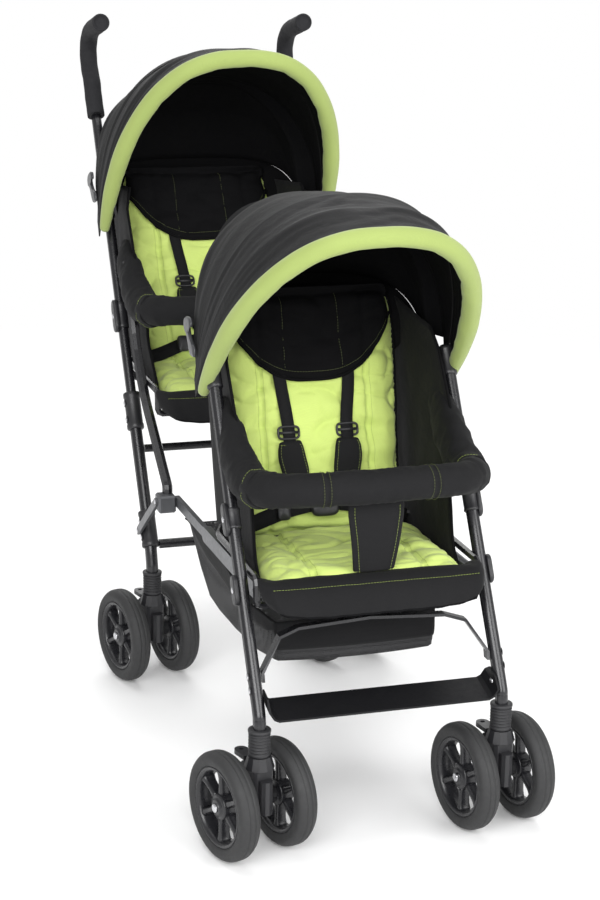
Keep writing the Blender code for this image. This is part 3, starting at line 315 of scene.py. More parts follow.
def make_materials():
    GROUPS["cloth"] = cloth_group()
    GROUPS["moulded"] = moulded_group()
    GROUPS["webbing"] = webbing_group()
    GROUPS["net"] = netting_group()
    black = colour("black")
    finish("lime_fabric", "cloth", colour("lime"), 300.0, 0.9, 0.78, 0.0022, sheen=0.15)
    # A darker copy of the lime fabric for the hood's padded edge: painted shade
    finish("shaded_lime_edge", "cloth", colour("shaded_lime_edge"), 300.0, 0.6, 0.72, 0.0016, sheen=0.15)
    finish("black_fabric", "cloth", black, 300.0, 0.9, 0.80, 0.0018, sheen=0.02,
           specular=0.20)
    finish("black_lining", "cloth", (0.0045, 0.0045, 0.0050, 1.0), 300.0, 0.9, 0.90, 0.0018,
           specular=0.10)
    finish("charcoal_fabric", "cloth", colour("charcoal"), 300.0, 1.0, 0.72, 0.0024,
           sheen=0.02, specular=0.22)
    finish("strap_webbing", "webbing", black, 170.0, 1.0, 0.75, 0.0004, specular=0.15,
           from_map=True)
    finish("basket_net", "net", (0.014, 0.014, 0.015, 1.0), 330.0, 1.0, 0.70, 0.0006)
    finish("frame_paint", "moulded", colour("tube"), 1400.0, 0.02, 0.30, 0.0001, 0.2,
           coat=0.3)
    finish("black_plastic", "moulded", (0.014, 0.014, 0.016, 1.0), 1800.0, 0.5, 0.42, 0.0002)
    finish("grey_plastic", "moulded", (0.050, 0.051, 0.055, 1.0), 1500.0, 0.4, 0.34, 0.0002,
           0.3)
    finish("grey_metal", "moulded", (0.115, 0.118, 0.125, 1.0), 900.0, 0.03, 0.38, 0.0001, 0.6)
    finish("steel", "moulded", (0.60, 0.60, 0.62, 1.0), 1100.0, 0.2, 0.24, 0.0001, 1.0)
    finish("tyre_rubber", "moulded", (0.019, 0.0192, 0.0200, 1.0), 2200.0, 0.8, 0.66, 0.0003)
    finish("boot_rubber", "moulded", (0.018, 0.018, 0.020, 1.0), 2000.0, 0.6, 0.58, 0.0002)
    finish("grip_foam", "moulded", (0.014, 0.014, 0.016, 1.0), 1500.0, 1.0, 0.80, 0.0004,
           specular=0.3)
    finish("footrest_paint", "moulded", (0.004, 0.004, 0.005, 1.0), 1500.0, 0.4, 0.55, 0.0002,
           specular=0.25)
    finish("rim_plastic", "moulded", (0.012, 0.012, 0.014, 1.0), 1300.0, 0.3, 0.30, 0.0001)
    finish("lime_thread", "moulded", (0.22, 0.29, 0.05, 1.0), 3000.0, 0.6, 0.60, 0.0002)
    finish("dark_thread", "moulded", (0.09, 0.11, 0.03, 1.0), 3000.0, 0.6, 0.70, 0.0002)


# Meshes

def eased(value, power):
    """A power of the value that keeps its sign, which squares off a circle."""
    return math.copysign(abs(value) ** power, value)


def oval(centre, across, along, wide, tall, count, power=1.0):
    """Points on an oval round a centre, which a low power squares off."""
    return [centre + across * (wide * eased(math.cos(TURN * i / count), power))
            + along * (tall * eased(math.sin(TURN * i / count), power))
            for i in range(count)]


def drawn_in(points, centre, share, shift=Vector()):
    """The points at a share of their distance from a centre, then shifted."""
    return [centre + (point - centre) * share + shift for point in points]


def closed(loop):
    return [*loop, loop[0]]


def smooth_path(points, per_span=6):
    """A soft curve through the points."""
    points = [Vector(point) for point in points]
    path = []
    for i in range(len(points) - 1):
        before = points[max(i - 1, 0)]
        first, second = points[i], points[i + 1]
        after = points[min(i + 2, len(points) - 1)]
        for step in range(per_span):
            t = step / per_span
            path.append(0.5 * ((2.0 * first) + (second - before) * t
                               + (2.0 * before - 5.0 * first + 4.0 * second - after) * t * t
                               + (3.0 * first - before - 3.0 * second + after) * t ** 3))
    path.append(points[-1])
    return path


def even_path(points, count):
    """The same path with points at equal steps."""
    points = [Vector(point) for point in points]
    lengths = [0.0]
    for first, second in zip(points, points[1:]):
        lengths.append(lengths[-1] + (second - first).length)
    made, index = [], 0
    for step in range(count):
        want = lengths[-1] * step / (count - 1)
        while index < len(points) - 2 and lengths[index + 1] < want:
            index += 1
        span = max(lengths[index + 1] - lengths[index], 1e-9)
        made.append(points[index].lerp(points[index + 1], (want - lengths[index]) / span))
    return made


def swept(points, section, side=ACROSS, carried=False):
    """Rings along a path; section(share) gives offsets sideways and across. The side
    direction is fixed, or carried along the path where the path turns through it."""
    rings = []
    lead = side
    count = len(points)
    for i, point in enumerate(points):
        ahead = (points[min(i + 1, count - 1)] - points[max(i - 1, 0)]).normalized()
        first = (lead - ahead * lead.dot(ahead)).normalized()
        if carried:
            lead = first
        second = ahead.cross(first)
        rings.append([point + first * a + second * b for a, b in section(i / (count - 1))])
    return rings


def lofted(rings, caps=True, loop=False):
    """A skin over rings of equally many points, with a map in metres."""
    bm = bmesh.new()
    layer = bm.loops.layers.uv.new("map")
    rows = [[bm.verts.new(point) for point in ring] for ring in rings]
    size_round = len(rings[0])
    along = [0.0]
    for first, second in zip(rings, rings[1:]):
        along.append(along[-1] + (second[0] - first[0]).length)
    around = [0.0]
    for i in range(size_round):
        around.append(around[-1] + (rings[0][(i + 1) % size_round] - rings[0][i]).length)
    pairs = list(zip(range(len(rows) - 1), range(1, len(rows))))
    if loop:
        pairs.append((len(rows) - 1, 0))
    for a, b in pairs:
        for i in range(size_round):
            j = (i + 1) % size_round
            face = bm.faces.new((rows[a][i], rows[a][j], rows[b][j], rows[b][i]))
            for corner, spot in zip(face.loops, ((around[i], along[a]), (around[i + 1], along[a]),
                                                 (around[i + 1], along[b]),
                                                 (around[i], along[b]))):
                corner[layer].uv = spot
    if caps and not loop:
        bm.faces.new(list(reversed(rows[0])))
        bm.faces.new(rows[-1])
    return outward(bm)


def outward(bm):
    bmesh.ops.recalc_face_normals(bm, faces=bm.faces)
    if bm.calc_volume(signed=True) < 0.0:
        bmesh.ops.reverse_faces(bm, faces=bm.faces)
    return bm


def ring(radius, count=20, groove=0.0):
    """A round section; groove presses it in at both sides."""
    points = []
    for i in range(count):
        angle = TURN * i / count
        press = groove * sum(math.exp(-(((angle - at + math.pi) % TURN - math.pi)
                                        / 0.20) ** 2) for at in (0.0, math.pi))
        points.append(((radius - press) * math.cos(angle), (radius - press) * math.sin(angle)))
    return points


def grid(across, along, shape):
    """An open grid, each point placed by shape(u, v), with u and v as its map."""
    bm = bmesh.new()
    layer = bm.loops.layers.uv.new("map")
    rows = [[bm.verts.new(shape(i / across, j / along)) for i in range(across + 1)]
            for j in range(along + 1)]
    for j in range(along):
        for i in range(across):
            face = bm.faces.new((rows[j][i], rows[j][i + 1], rows[j + 1][i + 1],
                                 rows[j + 1][i]))
            for corner, spot in zip(face.loops, ((i, j), (i + 1, j), (i + 1, j + 1),
                                                 (i, j + 1))):
                corner[layer].uv = (spot[0] / across, spot[1] / along)
    return bm


def backed(pad, behind):
    """Black fabric on the faces of a pad that its builder says are behind."""
    pad.data.materials.append(MATERIALS["black_fabric"])
    for face in pad.data.polygons:
        if behind(face.center - Vector((0.0, AXLE_LINE, 0.0))):
            face.material_index = 1


def cut_from(across, along, shape):
    """Works out the width and length of a sheet made over a grid, and keeps neither."""
    rows = [[shape(i / across, j / along) for i in range(across + 1)] for j in range(along + 1)]
    width = max(sum((b - a).length for a, b in zip(row, row[1:])) for row in rows)
    length = max(sum((b - a).length for a, b in zip(line, line[1:])) for line in zip(*rows))
    for row, after in zip(rows, rows[1:]):
        for a, b, c, d in zip(row, row[1:], after[1:], after):
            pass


def pillow(across, along, middle, half, top, bottom, corner=6.0, soft=2.3):
    """A closed pad: middle(v) gives a centre and the way out, half(v) its half width."""
    def height(spread, v):
        wide = max(0.0, 1.0 - abs(spread) ** corner) ** (1.0 / soft)
        long = max(0.0, 1.0 - abs(2.0 * v - 1.0) ** 12) ** (1.0 / soft)
        return wide * long

    def spaced(u):
        return math.sin((u - 0.5) * math.pi * 0.94) / math.sin(0.5 * math.pi * 0.94)

    bm = bmesh.new()
    for lift, flip in ((top, False), (bottom, True)):
        rows = []
        for j in range(along + 1):
            v = j / along
            centre, out = middle(v)
            row = []
            for i in range(across + 1):
                spread = spaced(i / across)
                depth = lift(spread, v) if callable(lift) else lift
                point = centre + out * (depth * height(spread, v))
                row.append(bm.verts.new(point + ACROSS * (half(v) * spread)))
            rows.append(row)
        for j in range(along):
            for i in range(across):
                corners = [rows[j][i], rows[j][i + 1], rows[j + 1][i + 1], rows[j + 1][i]]
                bm.faces.new(corners if flip else list(reversed(corners)))
    bmesh.ops.remove_doubles(bm, verts=bm.verts, dist=0.00005)
    return outward(bm)


def displaced(bm, amount):
    """Moves each point along its normal by amount(place)."""
    bm.normal_update()
    moves = [(vert, vert.normal * amount(vert.co)) for vert in bm.verts]
    for vert, move in moves:
        vert.co += move
    return bm


def to_object(name, bm):
    mesh = bpy.data.meshes.new(name)
    bm.to_mesh(mesh)
    bm.free()
    obj = bpy.data.objects.new(name, mesh)
    bpy.context.scene.collection.objects.link(obj)
    return obj


def settled(obj):
    """The evaluated mesh kept as the object's own, with no modifier left on it."""
    bpy.context.view_layer.update()
    graph = bpy.context.evaluated_depsgraph_get()
    mesh = bpy.data.meshes.new_from_object(obj.evaluated_get(graph), depsgraph=graph)
    old = obj.data
    obj.modifiers.clear()
    obj.data = mesh
    bpy.data.meshes.remove(old)
    mesh.name = obj.name
    return obj


def thickened(obj, thickness, offset=0.0):
    wall = obj.modifiers.new("wall", "SOLIDIFY")
    wall.thickness = thickness
    wall.offset = offset
    wall.use_even_offset = False
    return settled(obj)


def subdivided(obj, levels=1):
    soft = obj.modifiers.new("soft", "SUBSURF")
    soft.levels = levels
    soft.render_levels = levels
    return settled(obj)


def as_piece(obj, body, material, replaced=(), smooth=True):
    """Moves the shape to its place and gives it its body, finish and slot."""
    obj.data.transform(Matrix.Translation((0.0, AXLE_LINE, 0.0)))
    if material is not None:
        obj.data.materials.clear()
        obj.data.materials.append(MATERIALS[material])
    for face in obj.data.polygons:
        face.use_smooth = smooth
    if body is not None:
        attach(obj, body)
    if replaced:
        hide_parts(*replaced)
    return obj


def piece(name, bm, body, material, replaced=(), smooth=True):
    return as_piece(to_object(name, bm), body, material, replaced, smooth)


def joined(shapes):
    """Several closed shapes as one mesh."""
    whole = bmesh.new()
    for bm in shapes:
        mesh = bpy.data.meshes.new("part")
        bm.to_mesh(mesh)
        bm.free()
        whole.from_mesh(mesh)
        bpy.data.meshes.remove(mesh)
    return whole


def puffed(obj, swell=0.0060, voxel=0.0050, pressure=4.0):
    """The pad blown up as cloth, each point held within swell of where it began."""
    shell = obj.modifiers.new("shell", "REMESH")
    shell.mode = "VOXEL"
    shell.voxel_size = voxel
    settled(obj)
    start = [vert.co.copy() for vert in obj.data.vertices]
    cloth = obj.modifiers.new("cloth", "CLOTH")
    cloth.settings.use_pressure = True
    cloth.settings.uniform_pressure_force = pressure
    cloth.settings.tension_stiffness = 12.0
    cloth.settings.bending_stiffness = 0.4
    cloth.settings.effector_weights.gravity = 0.0
    cloth.point_cache.frame_start = 1
    cloth.point_cache.frame_end = 20
    scene = bpy.context.scene
    for step in range(1, 21):
        scene.frame_set(step)
    settled(obj)
    scene.frame_set(1)
    for vert, origin in zip(obj.data.vertices, start):
        move = vert.co - origin
        if move.length > swell:
            move = move.normalized() * swell
        vert.co = origin + move
    return subdivided(obj)


def reshaped(obj, amount):
    """Moves the points of a finished mesh along their normals."""
    bm = bmesh.new()
    bm.from_mesh(obj.data)
    displaced(bm, amount)
    bm.to_mesh(obj.data)
    bm.free()
    obj.data.update()
    return obj


def surface_of(obj):
    """The object's skin, for laying straps and stitches on it."""
    bm = bmesh.new()
    bm.from_mesh(obj.data)
    tree = BVHTree.FromBMesh(bm)
    bm.free()
    return tree


def laid(tree, point, towards, lift):
    """The point moved onto the skin along a direction, and lifted off it a little."""
    hit, _, _, _ = tree.ray_cast(Vector(point) - towards * 0.15, towards, 0.30)
    if hit is None:
        return None
    return hit - towards * lift


# Geometry Nodes

def geometry_tree(name, inputs):
    tree = bpy.data.node_groups.new(name, "GeometryNodeTree")
    tree.interface.new_socket(name="Geometry", in_out="INPUT", socket_type="NodeSocketGeometry")
    for label, kind, default in inputs:
        socket = tree.interface.new_socket(name=label, in_out="INPUT", socket_type=kind)
        if default is not None:
            socket.default_value = default
    tree.interface.new_socket(name="Geometry", in_out="OUTPUT",
                              socket_type="NodeSocketGeometry")
    return tree, tree.nodes.new("NodeGroupInput"), tree.nodes.new("NodeGroupOutput")


def close_tree(tree, start, end, geometry):
    real = node(tree, "GeometryNodeRealizeInstances", {0: geometry})
    painted = node(tree, "GeometryNodeSetMaterial",
                   {"Geometry": real.outputs[0], "Material": start.outputs["Material"]})
    tree.links.new(painted.outputs[0], end.inputs[0])
    return tree


def stitch_tree():
    """Short threads in a row along the edges of the input."""
    tree, start, end = geometry_tree("running_stitch",
                                     [("Spacing", "NodeSocketFloat", 0.0042),
                                      ("Length", "NodeSocketFloat", 0.0028),
                                      ("Radius", "NodeSocketFloat", 0.00030),
                                      ("Material", "NodeSocketMaterial", None)])
    line = node(tree, "GeometryNodeMeshToCurve", {0: start.outputs["Geometry"]})
    spots = node(tree, "GeometryNodeCurveToPoints",
                 {"Curve": line.outputs[0], "Length": start.outputs["Spacing"]},
                 mode="LENGTH")
    thread = node(tree, "GeometryNodeMeshCylinder",
                  {"Vertices": 5, "Radius": start.outputs["Radius"],
                   "Depth": start.outputs["Length"]})
    turn = node(tree, "FunctionNodeAlignRotationToVector",
                {"Vector": spots.outputs["Tangent"]}, axis="Z")
    many = node(tree, "GeometryNodeInstanceOnPoints",
                {"Points": spots.outputs["Points"], "Instance": thread.outputs["Mesh"],
                 "Rotation": turn.outputs[0]})
    return close_tree(tree, start, end, many.outputs[0])


def rivet_tree():
    """A domed head on each point, facing along the point's own direction."""
    tree, start, end = geometry_tree("domed_rivets",
                                     [("Radius", "NodeSocketFloat", 0.0045),
                                      ("Height", "NodeSocketFloat", 0.0020),
                                      ("Material", "NodeSocketMaterial", None)])
    facing = node(tree, "GeometryNodeInputNamedAttribute", {"Name": "facing"},
                  data_type="FLOAT_VECTOR")
    turn = node(tree, "FunctionNodeAlignRotationToVector",
                {"Vector": facing.outputs[0]}, axis="Z")
    dome = node(tree, "GeometryNodeMeshUVSphere", {"Segments": 20, "Rings": 10, "Radius": 1.0})
    stretch = node(tree, "ShaderNodeCombineXYZ",
                   {0: start.outputs["Radius"], 1: start.outputs["Radius"],
                    2: start.outputs["Height"]})
    points = node(tree, "GeometryNodeMeshToPoints", {0: start.outputs["Geometry"]})
    many = node(tree, "GeometryNodeInstanceOnPoints",
                {"Points": points.outputs[0], "Instance": dome.outputs["Mesh"],
                 "Rotation": turn.outputs[0], "Scale": stretch.outputs[0]})
    smooth = node(tree, "GeometryNodeSetShadeSmooth", {0: many.outputs[0]})
    return close_tree(tree, start, end, smooth.outputs[0])


def spoke_tree():
    """The input repeated evenly round the X axis."""
    tree, start, end = geometry_tree("wheel_spokes", [("Count", "NodeSocketInt", 6),
                                                      ("Material", "NodeSocketMaterial", None)])
    points = node(tree, "GeometryNodePoints", {"Count": start.outputs["Count"]})
    index = node(tree, "GeometryNodeInputIndex")
    step = maths(tree, "DIVIDE", TURN, start.outputs["Count"])
    angle = maths(tree, "MULTIPLY", index.outputs[0], step)
    turn = node(tree, "ShaderNodeCombineXYZ", {0: angle})
    spin = node(tree, "FunctionNodeEulerToRotation", {0: turn.outputs[0]})
    many = node(tree, "GeometryNodeInstanceOnPoints",
                {"Points": points.outputs[0], "Instance": start.outputs["Geometry"],
                 "Rotation": spin.outputs[0]})
    return close_tree(tree, start, end, many.outputs[0])


TREES = {}


def grown(obj, tree, **values):
    """Runs a tree on the object and keeps the result as a plain mesh."""
    step = obj.modifiers.new(tree, "NODES")
    step.node_group = TREES[tree]
    for item in TREES[tree].interface.items_tree:
        if item.item_type == "SOCKET" and item.in_out == "INPUT" and item.name in values:
            step[item.identifier] = values[item.name]
    return settled(obj)


def stitched(name, lines, body, thread="lime_thread"):
    """Rows of stitches along the lines, as one piece."""
    bm = bmesh.new()
    for line in lines:
        verts = [bm.verts.new(point) for point in line if point is not None]
        for first, second in zip(verts, verts[1:]):
            bm.edges.new((first, second))
    obj = grown(to_object(name, bm), "running_stitch", Spacing=size("stitch_gap"),
                Material=MATERIALS[thread])
    return as_piece(obj, body, None, smooth=False)


def piped(name, edge, body, radius, lead=ACROSS, carried=False):
    """A thin round piping along an edge, as a piece."""
    skin = lofted(swept(edge, lambda s: ring(radius, 8), lead, carried))
    return piece(name, skin, body, "black_lining")


def riveted(name, spots, body, radius, height, material="steel"):
    """Rivet heads at places, each facing its own way, as one piece."""
    bm = bmesh.new()
    for place, _ in spots:
        bm.verts.new(place)
    obj = to_object(name, bm)
    facing = obj.data.attributes.new("facing", "FLOAT_VECTOR", "POINT")
    for item, (_, way) in zip(facing.data, spots):
        item.vector = way
    grown(obj, "domed_rivets", Radius=radius, Height=height, Material=MATERIALS[material])
    return as_piece(obj, body, None)


# Places shared by the soft pieces

def back_place(facts):
    """A row's recline hinge, with unit vectors up along the back and out of its rear."""
    angle = math.radians(facts["lean"])
    up = Vector((0.0, math.sin(angle), math.cos(angle)))
    behind = Vector((0.0, math.cos(angle), -math.sin(angle)))
    return Vector((0.0, *HINGE)) + facts["seat"], up, behind


# How far from the middle each front leg stands, and each rear leg at its foot
FRONT_LEG_X = 0.1815
REAR_LEG_X = 0.1757


def front_leg_y(z):
    return 0.0190 + 0.606 * (z - 0.2570)


def rear_leg_point(side, z):
    return Vector((side * (REAR_LEG_X + 0.0122 * (z - 0.1968)), 0.6624 + 0.564 * (z - 0.1968), z))


def between(values, share):
    """The value at a share of a list, in a straight line between its neighbours."""
    spot = min(max(share, 0.0), 1.0) * (len(values) - 1)
    index = min(int(spot), len(values) - 2)
    return values[index] + (values[index + 1] - values[index]) * (spot - index)


def point_along(points, share):
    """The point at a share of a list, and how far it lies between its two neighbours."""
    spot = share * (len(points) - 1)
    index = min(int(spot), len(points) - 2)
    mix = spot - index
    return Vector(points[index]).lerp(Vector(points[index + 1]), mix), mix


def crease(place, scale, amount, stretch=(1.0, 1.0, 1.0), seed=0.0, narrow=4.0):
    """Narrow valleys between soft puffs, where the noise passes through nought."""
    spot = Vector((place.x * stretch[0], place.y * stretch[1], place.z * stretch[2])) * scale
    level = abs(noise(spot + Vector((seed, -seed, seed * 0.4))))
    return -amount * max(0.0, 1.0 - level * narrow) ** 1.5


def wrinkle(place, scale, amount, stretch=(1.0, 1.0, 1.0), seed=0.0):
    spot = Vector((place.x * stretch[0], place.y * stretch[1], place.z * stretch[2])) * scale
    return noise(spot + Vector((seed, seed * 0.7, -seed))) * amount


PADS = {}


# Stage and finishes

CAMERA_PLACE = (-0.9001, -3.0124, 1.3168)
CAMERA_RIGHT = (0.9551, -0.2957, 0.0175)
CAMERA_AHEAD = (0.2888, 0.9165, -0.2770)
LENS = 80.04
SHIFT = (-0.0060, 0.0157)
# Lamps: name, place, the point that it faces, width, watts
LAMPS = [("key", (-1.7, -3.6, 2.3), (0.0, 0.0, 0.5), 2.6, 150.0),
         ("fill", (1.9, -3.0, 1.7), (0.0, 0.0, 0.5), 2.4, 85.0),
         ("top", (0.0, 0.4, 4.2), (0.0, 0.0, 0.5), 3.2, 60.0),
         ("rear", (0.6, 3.4, 2.8), (0.0, 0.2, 0.6), 2.6, 60.0)]
WORLD_STRENGTH = 0.58


class BUGGY_OT_stage(bpy.types.Operator):
    """Floor, lamps, world and camera"""
    bl_idname = "buggy.stage"
    bl_label = "Stage and camera"

    def execute(self, context):
        context.scene.view_settings.view_transform = "Standard"
        self.place_camera(context.scene)
        self.place_floor()
        for lamp in LAMPS:
            self.place_lamp(context.scene, *lamp)
        self.light_world(context.scene)
        return {"FINISHED"}

    def place_camera(self, scene):
        data = bpy.data.cameras.new("camera")
        data.sensor_width = 36.0
        data.sensor_fit = "AUTO"
        data.lens = LENS
        data.shift_x, data.shift_y = SHIFT
        data.clip_end = 100.0
        camera = bpy.data.objects.new("camera", data)
        scene.collection.objects.link(camera)
        right = Vector(CAMERA_RIGHT).normalized()
        ahead = Vector(CAMERA_AHEAD).normalized()
        up = right.cross(ahead).normalized()
        right = ahead.cross(up)
        columns = Matrix((right, up, -ahead)).transposed().to_4x4()
        camera.matrix_world = Matrix.Translation(CAMERA_PLACE) @ columns
        scene.camera = camera

    def place_floor(self):
        """A pale floor that turns into plain white away from the object."""
        bm = bmesh.new()
        bmesh.ops.create_grid(bm, x_segments=1, y_segments=1, size=30.0)
        floor = to_object("floor", bm)
        floor.data.transform(Matrix.Translation((0.0, 0.0, -0.0002)))
        material = bpy.data.materials.new("floor")
        material.use_nodes = True
        tree = material.node_tree
        matt = tree.nodes["Principled BSDF"]
        matt.inputs["Base Color"].default_value = (0.93, 0.93, 0.93, 1)
        matt.inputs["Roughness"].default_value = 0.55
        matt.inputs["Specular IOR Level"].default_value = 0.25
        floor.data.materials.append(material)
        place = node(tree, "ShaderNodeTexCoord").outputs["Object"]
        away = node(tree, "ShaderNodeVectorMath", {0: place}, operation="LENGTH")
        far = node(tree, "ShaderNodeMapRange",
                   {"Value": away.outputs["Value"], "From Min": 1.2, "From Max": 3.0})
        white = node(tree, "ShaderNodeEmission", {"Color": (1, 1, 1, 1), "Strength": 1.0})
        mix = node(tree, "ShaderNodeMixShader",
                   {0: far.outputs[0], 1: matt.outputs[0], 2: white.outputs[0]})
        tree.links.new(mix.outputs[0], tree.nodes["Material Output"].inputs["Surface"])

    def place_lamp(self, scene, name, place, aim, width, power):
        lamp = bpy.data.lights.new(name, "AREA")
        lamp.shape = "SQUARE"
        lamp.size = width
        lamp.energy = power
        obj = bpy.data.objects.new(name, lamp)
        scene.collection.objects.link(obj)
        way = Vector(aim) - Vector(place)
        obj.matrix_world = (Matrix.Translation(place)
                            @ way.to_track_quat("-Z", "Y").to_matrix().to_4x4())

    def light_world(self, scene):
        """Soft light from all round, and plain white where the camera looks past."""
        world = bpy.data.worlds.new("studio")
        scene.world = world
        world.use_nodes = True
        tree = world.node_tree
        soft = tree.nodes["Background"]
        soft.inputs["Color"].default_value = (1.0, 1.0, 1.0, 1.0)
        soft.inputs["Strength"].default_value = WORLD_STRENGTH
        seen = node(tree, "ShaderNodeBackground", {"Color": (1, 1, 1, 1), "Strength": 1.0})
        path = node(tree, "ShaderNodeLightPath")
        mix = node(tree, "ShaderNodeMixShader",
                   {0: path.outputs["Is Camera Ray"], 1: soft.outputs[0], 2: seen.outputs[0]})
        tree.links.new(mix.outputs[0], tree.nodes["World Output"].inputs["Surface"])


class BUGGY_OT_finishes(bpy.types.Operator):
    """Finishes on the solids that stay as they are"""
    bl_idname = "buggy.finishes"
    bl_label = "Finishes"

    def execute(self, context):
        make_materials()
        TREES["running_stitch"] = stitch_tree()
        TREES["domed_rivets"] = rivet_tree()
        TREES["wheel_spokes"] = spoke_tree()
        table = {"front_leg": "frame_paint", "rear_leg": "frame_paint",
                 "front_boot": "boot_rubber", "rear_boot": "boot_rubber",
                 "rear_bracket": "grey_metal", "handle_grip": "grip_foam",
                 "rear_cross_frame": "frame_paint", "rear_seat_frame": "frame_paint",
                 "front_seat_frame": "frame_paint", "front_brace": "frame_paint",
                 "side_rail": "grey_metal", "footrest": "footrest_paint",
                 "basket": "basket_net", "_fork": "black_plastic", "_axle": "steel",
                 "_lever": "black_plastic", "_tyre": "tyre_rubber", "_rim": "rim_plastic"}
        for name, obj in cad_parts.items():
            obj.data.materials.clear()
            for key, material in table.items():
                if key in name:
                    obj.data.materials.append(MATERIALS[material])
                    break
            else:
                obj.data.materials.append(MATERIALS["black_fabric"])
        return {"FINISHED"}


# Seats

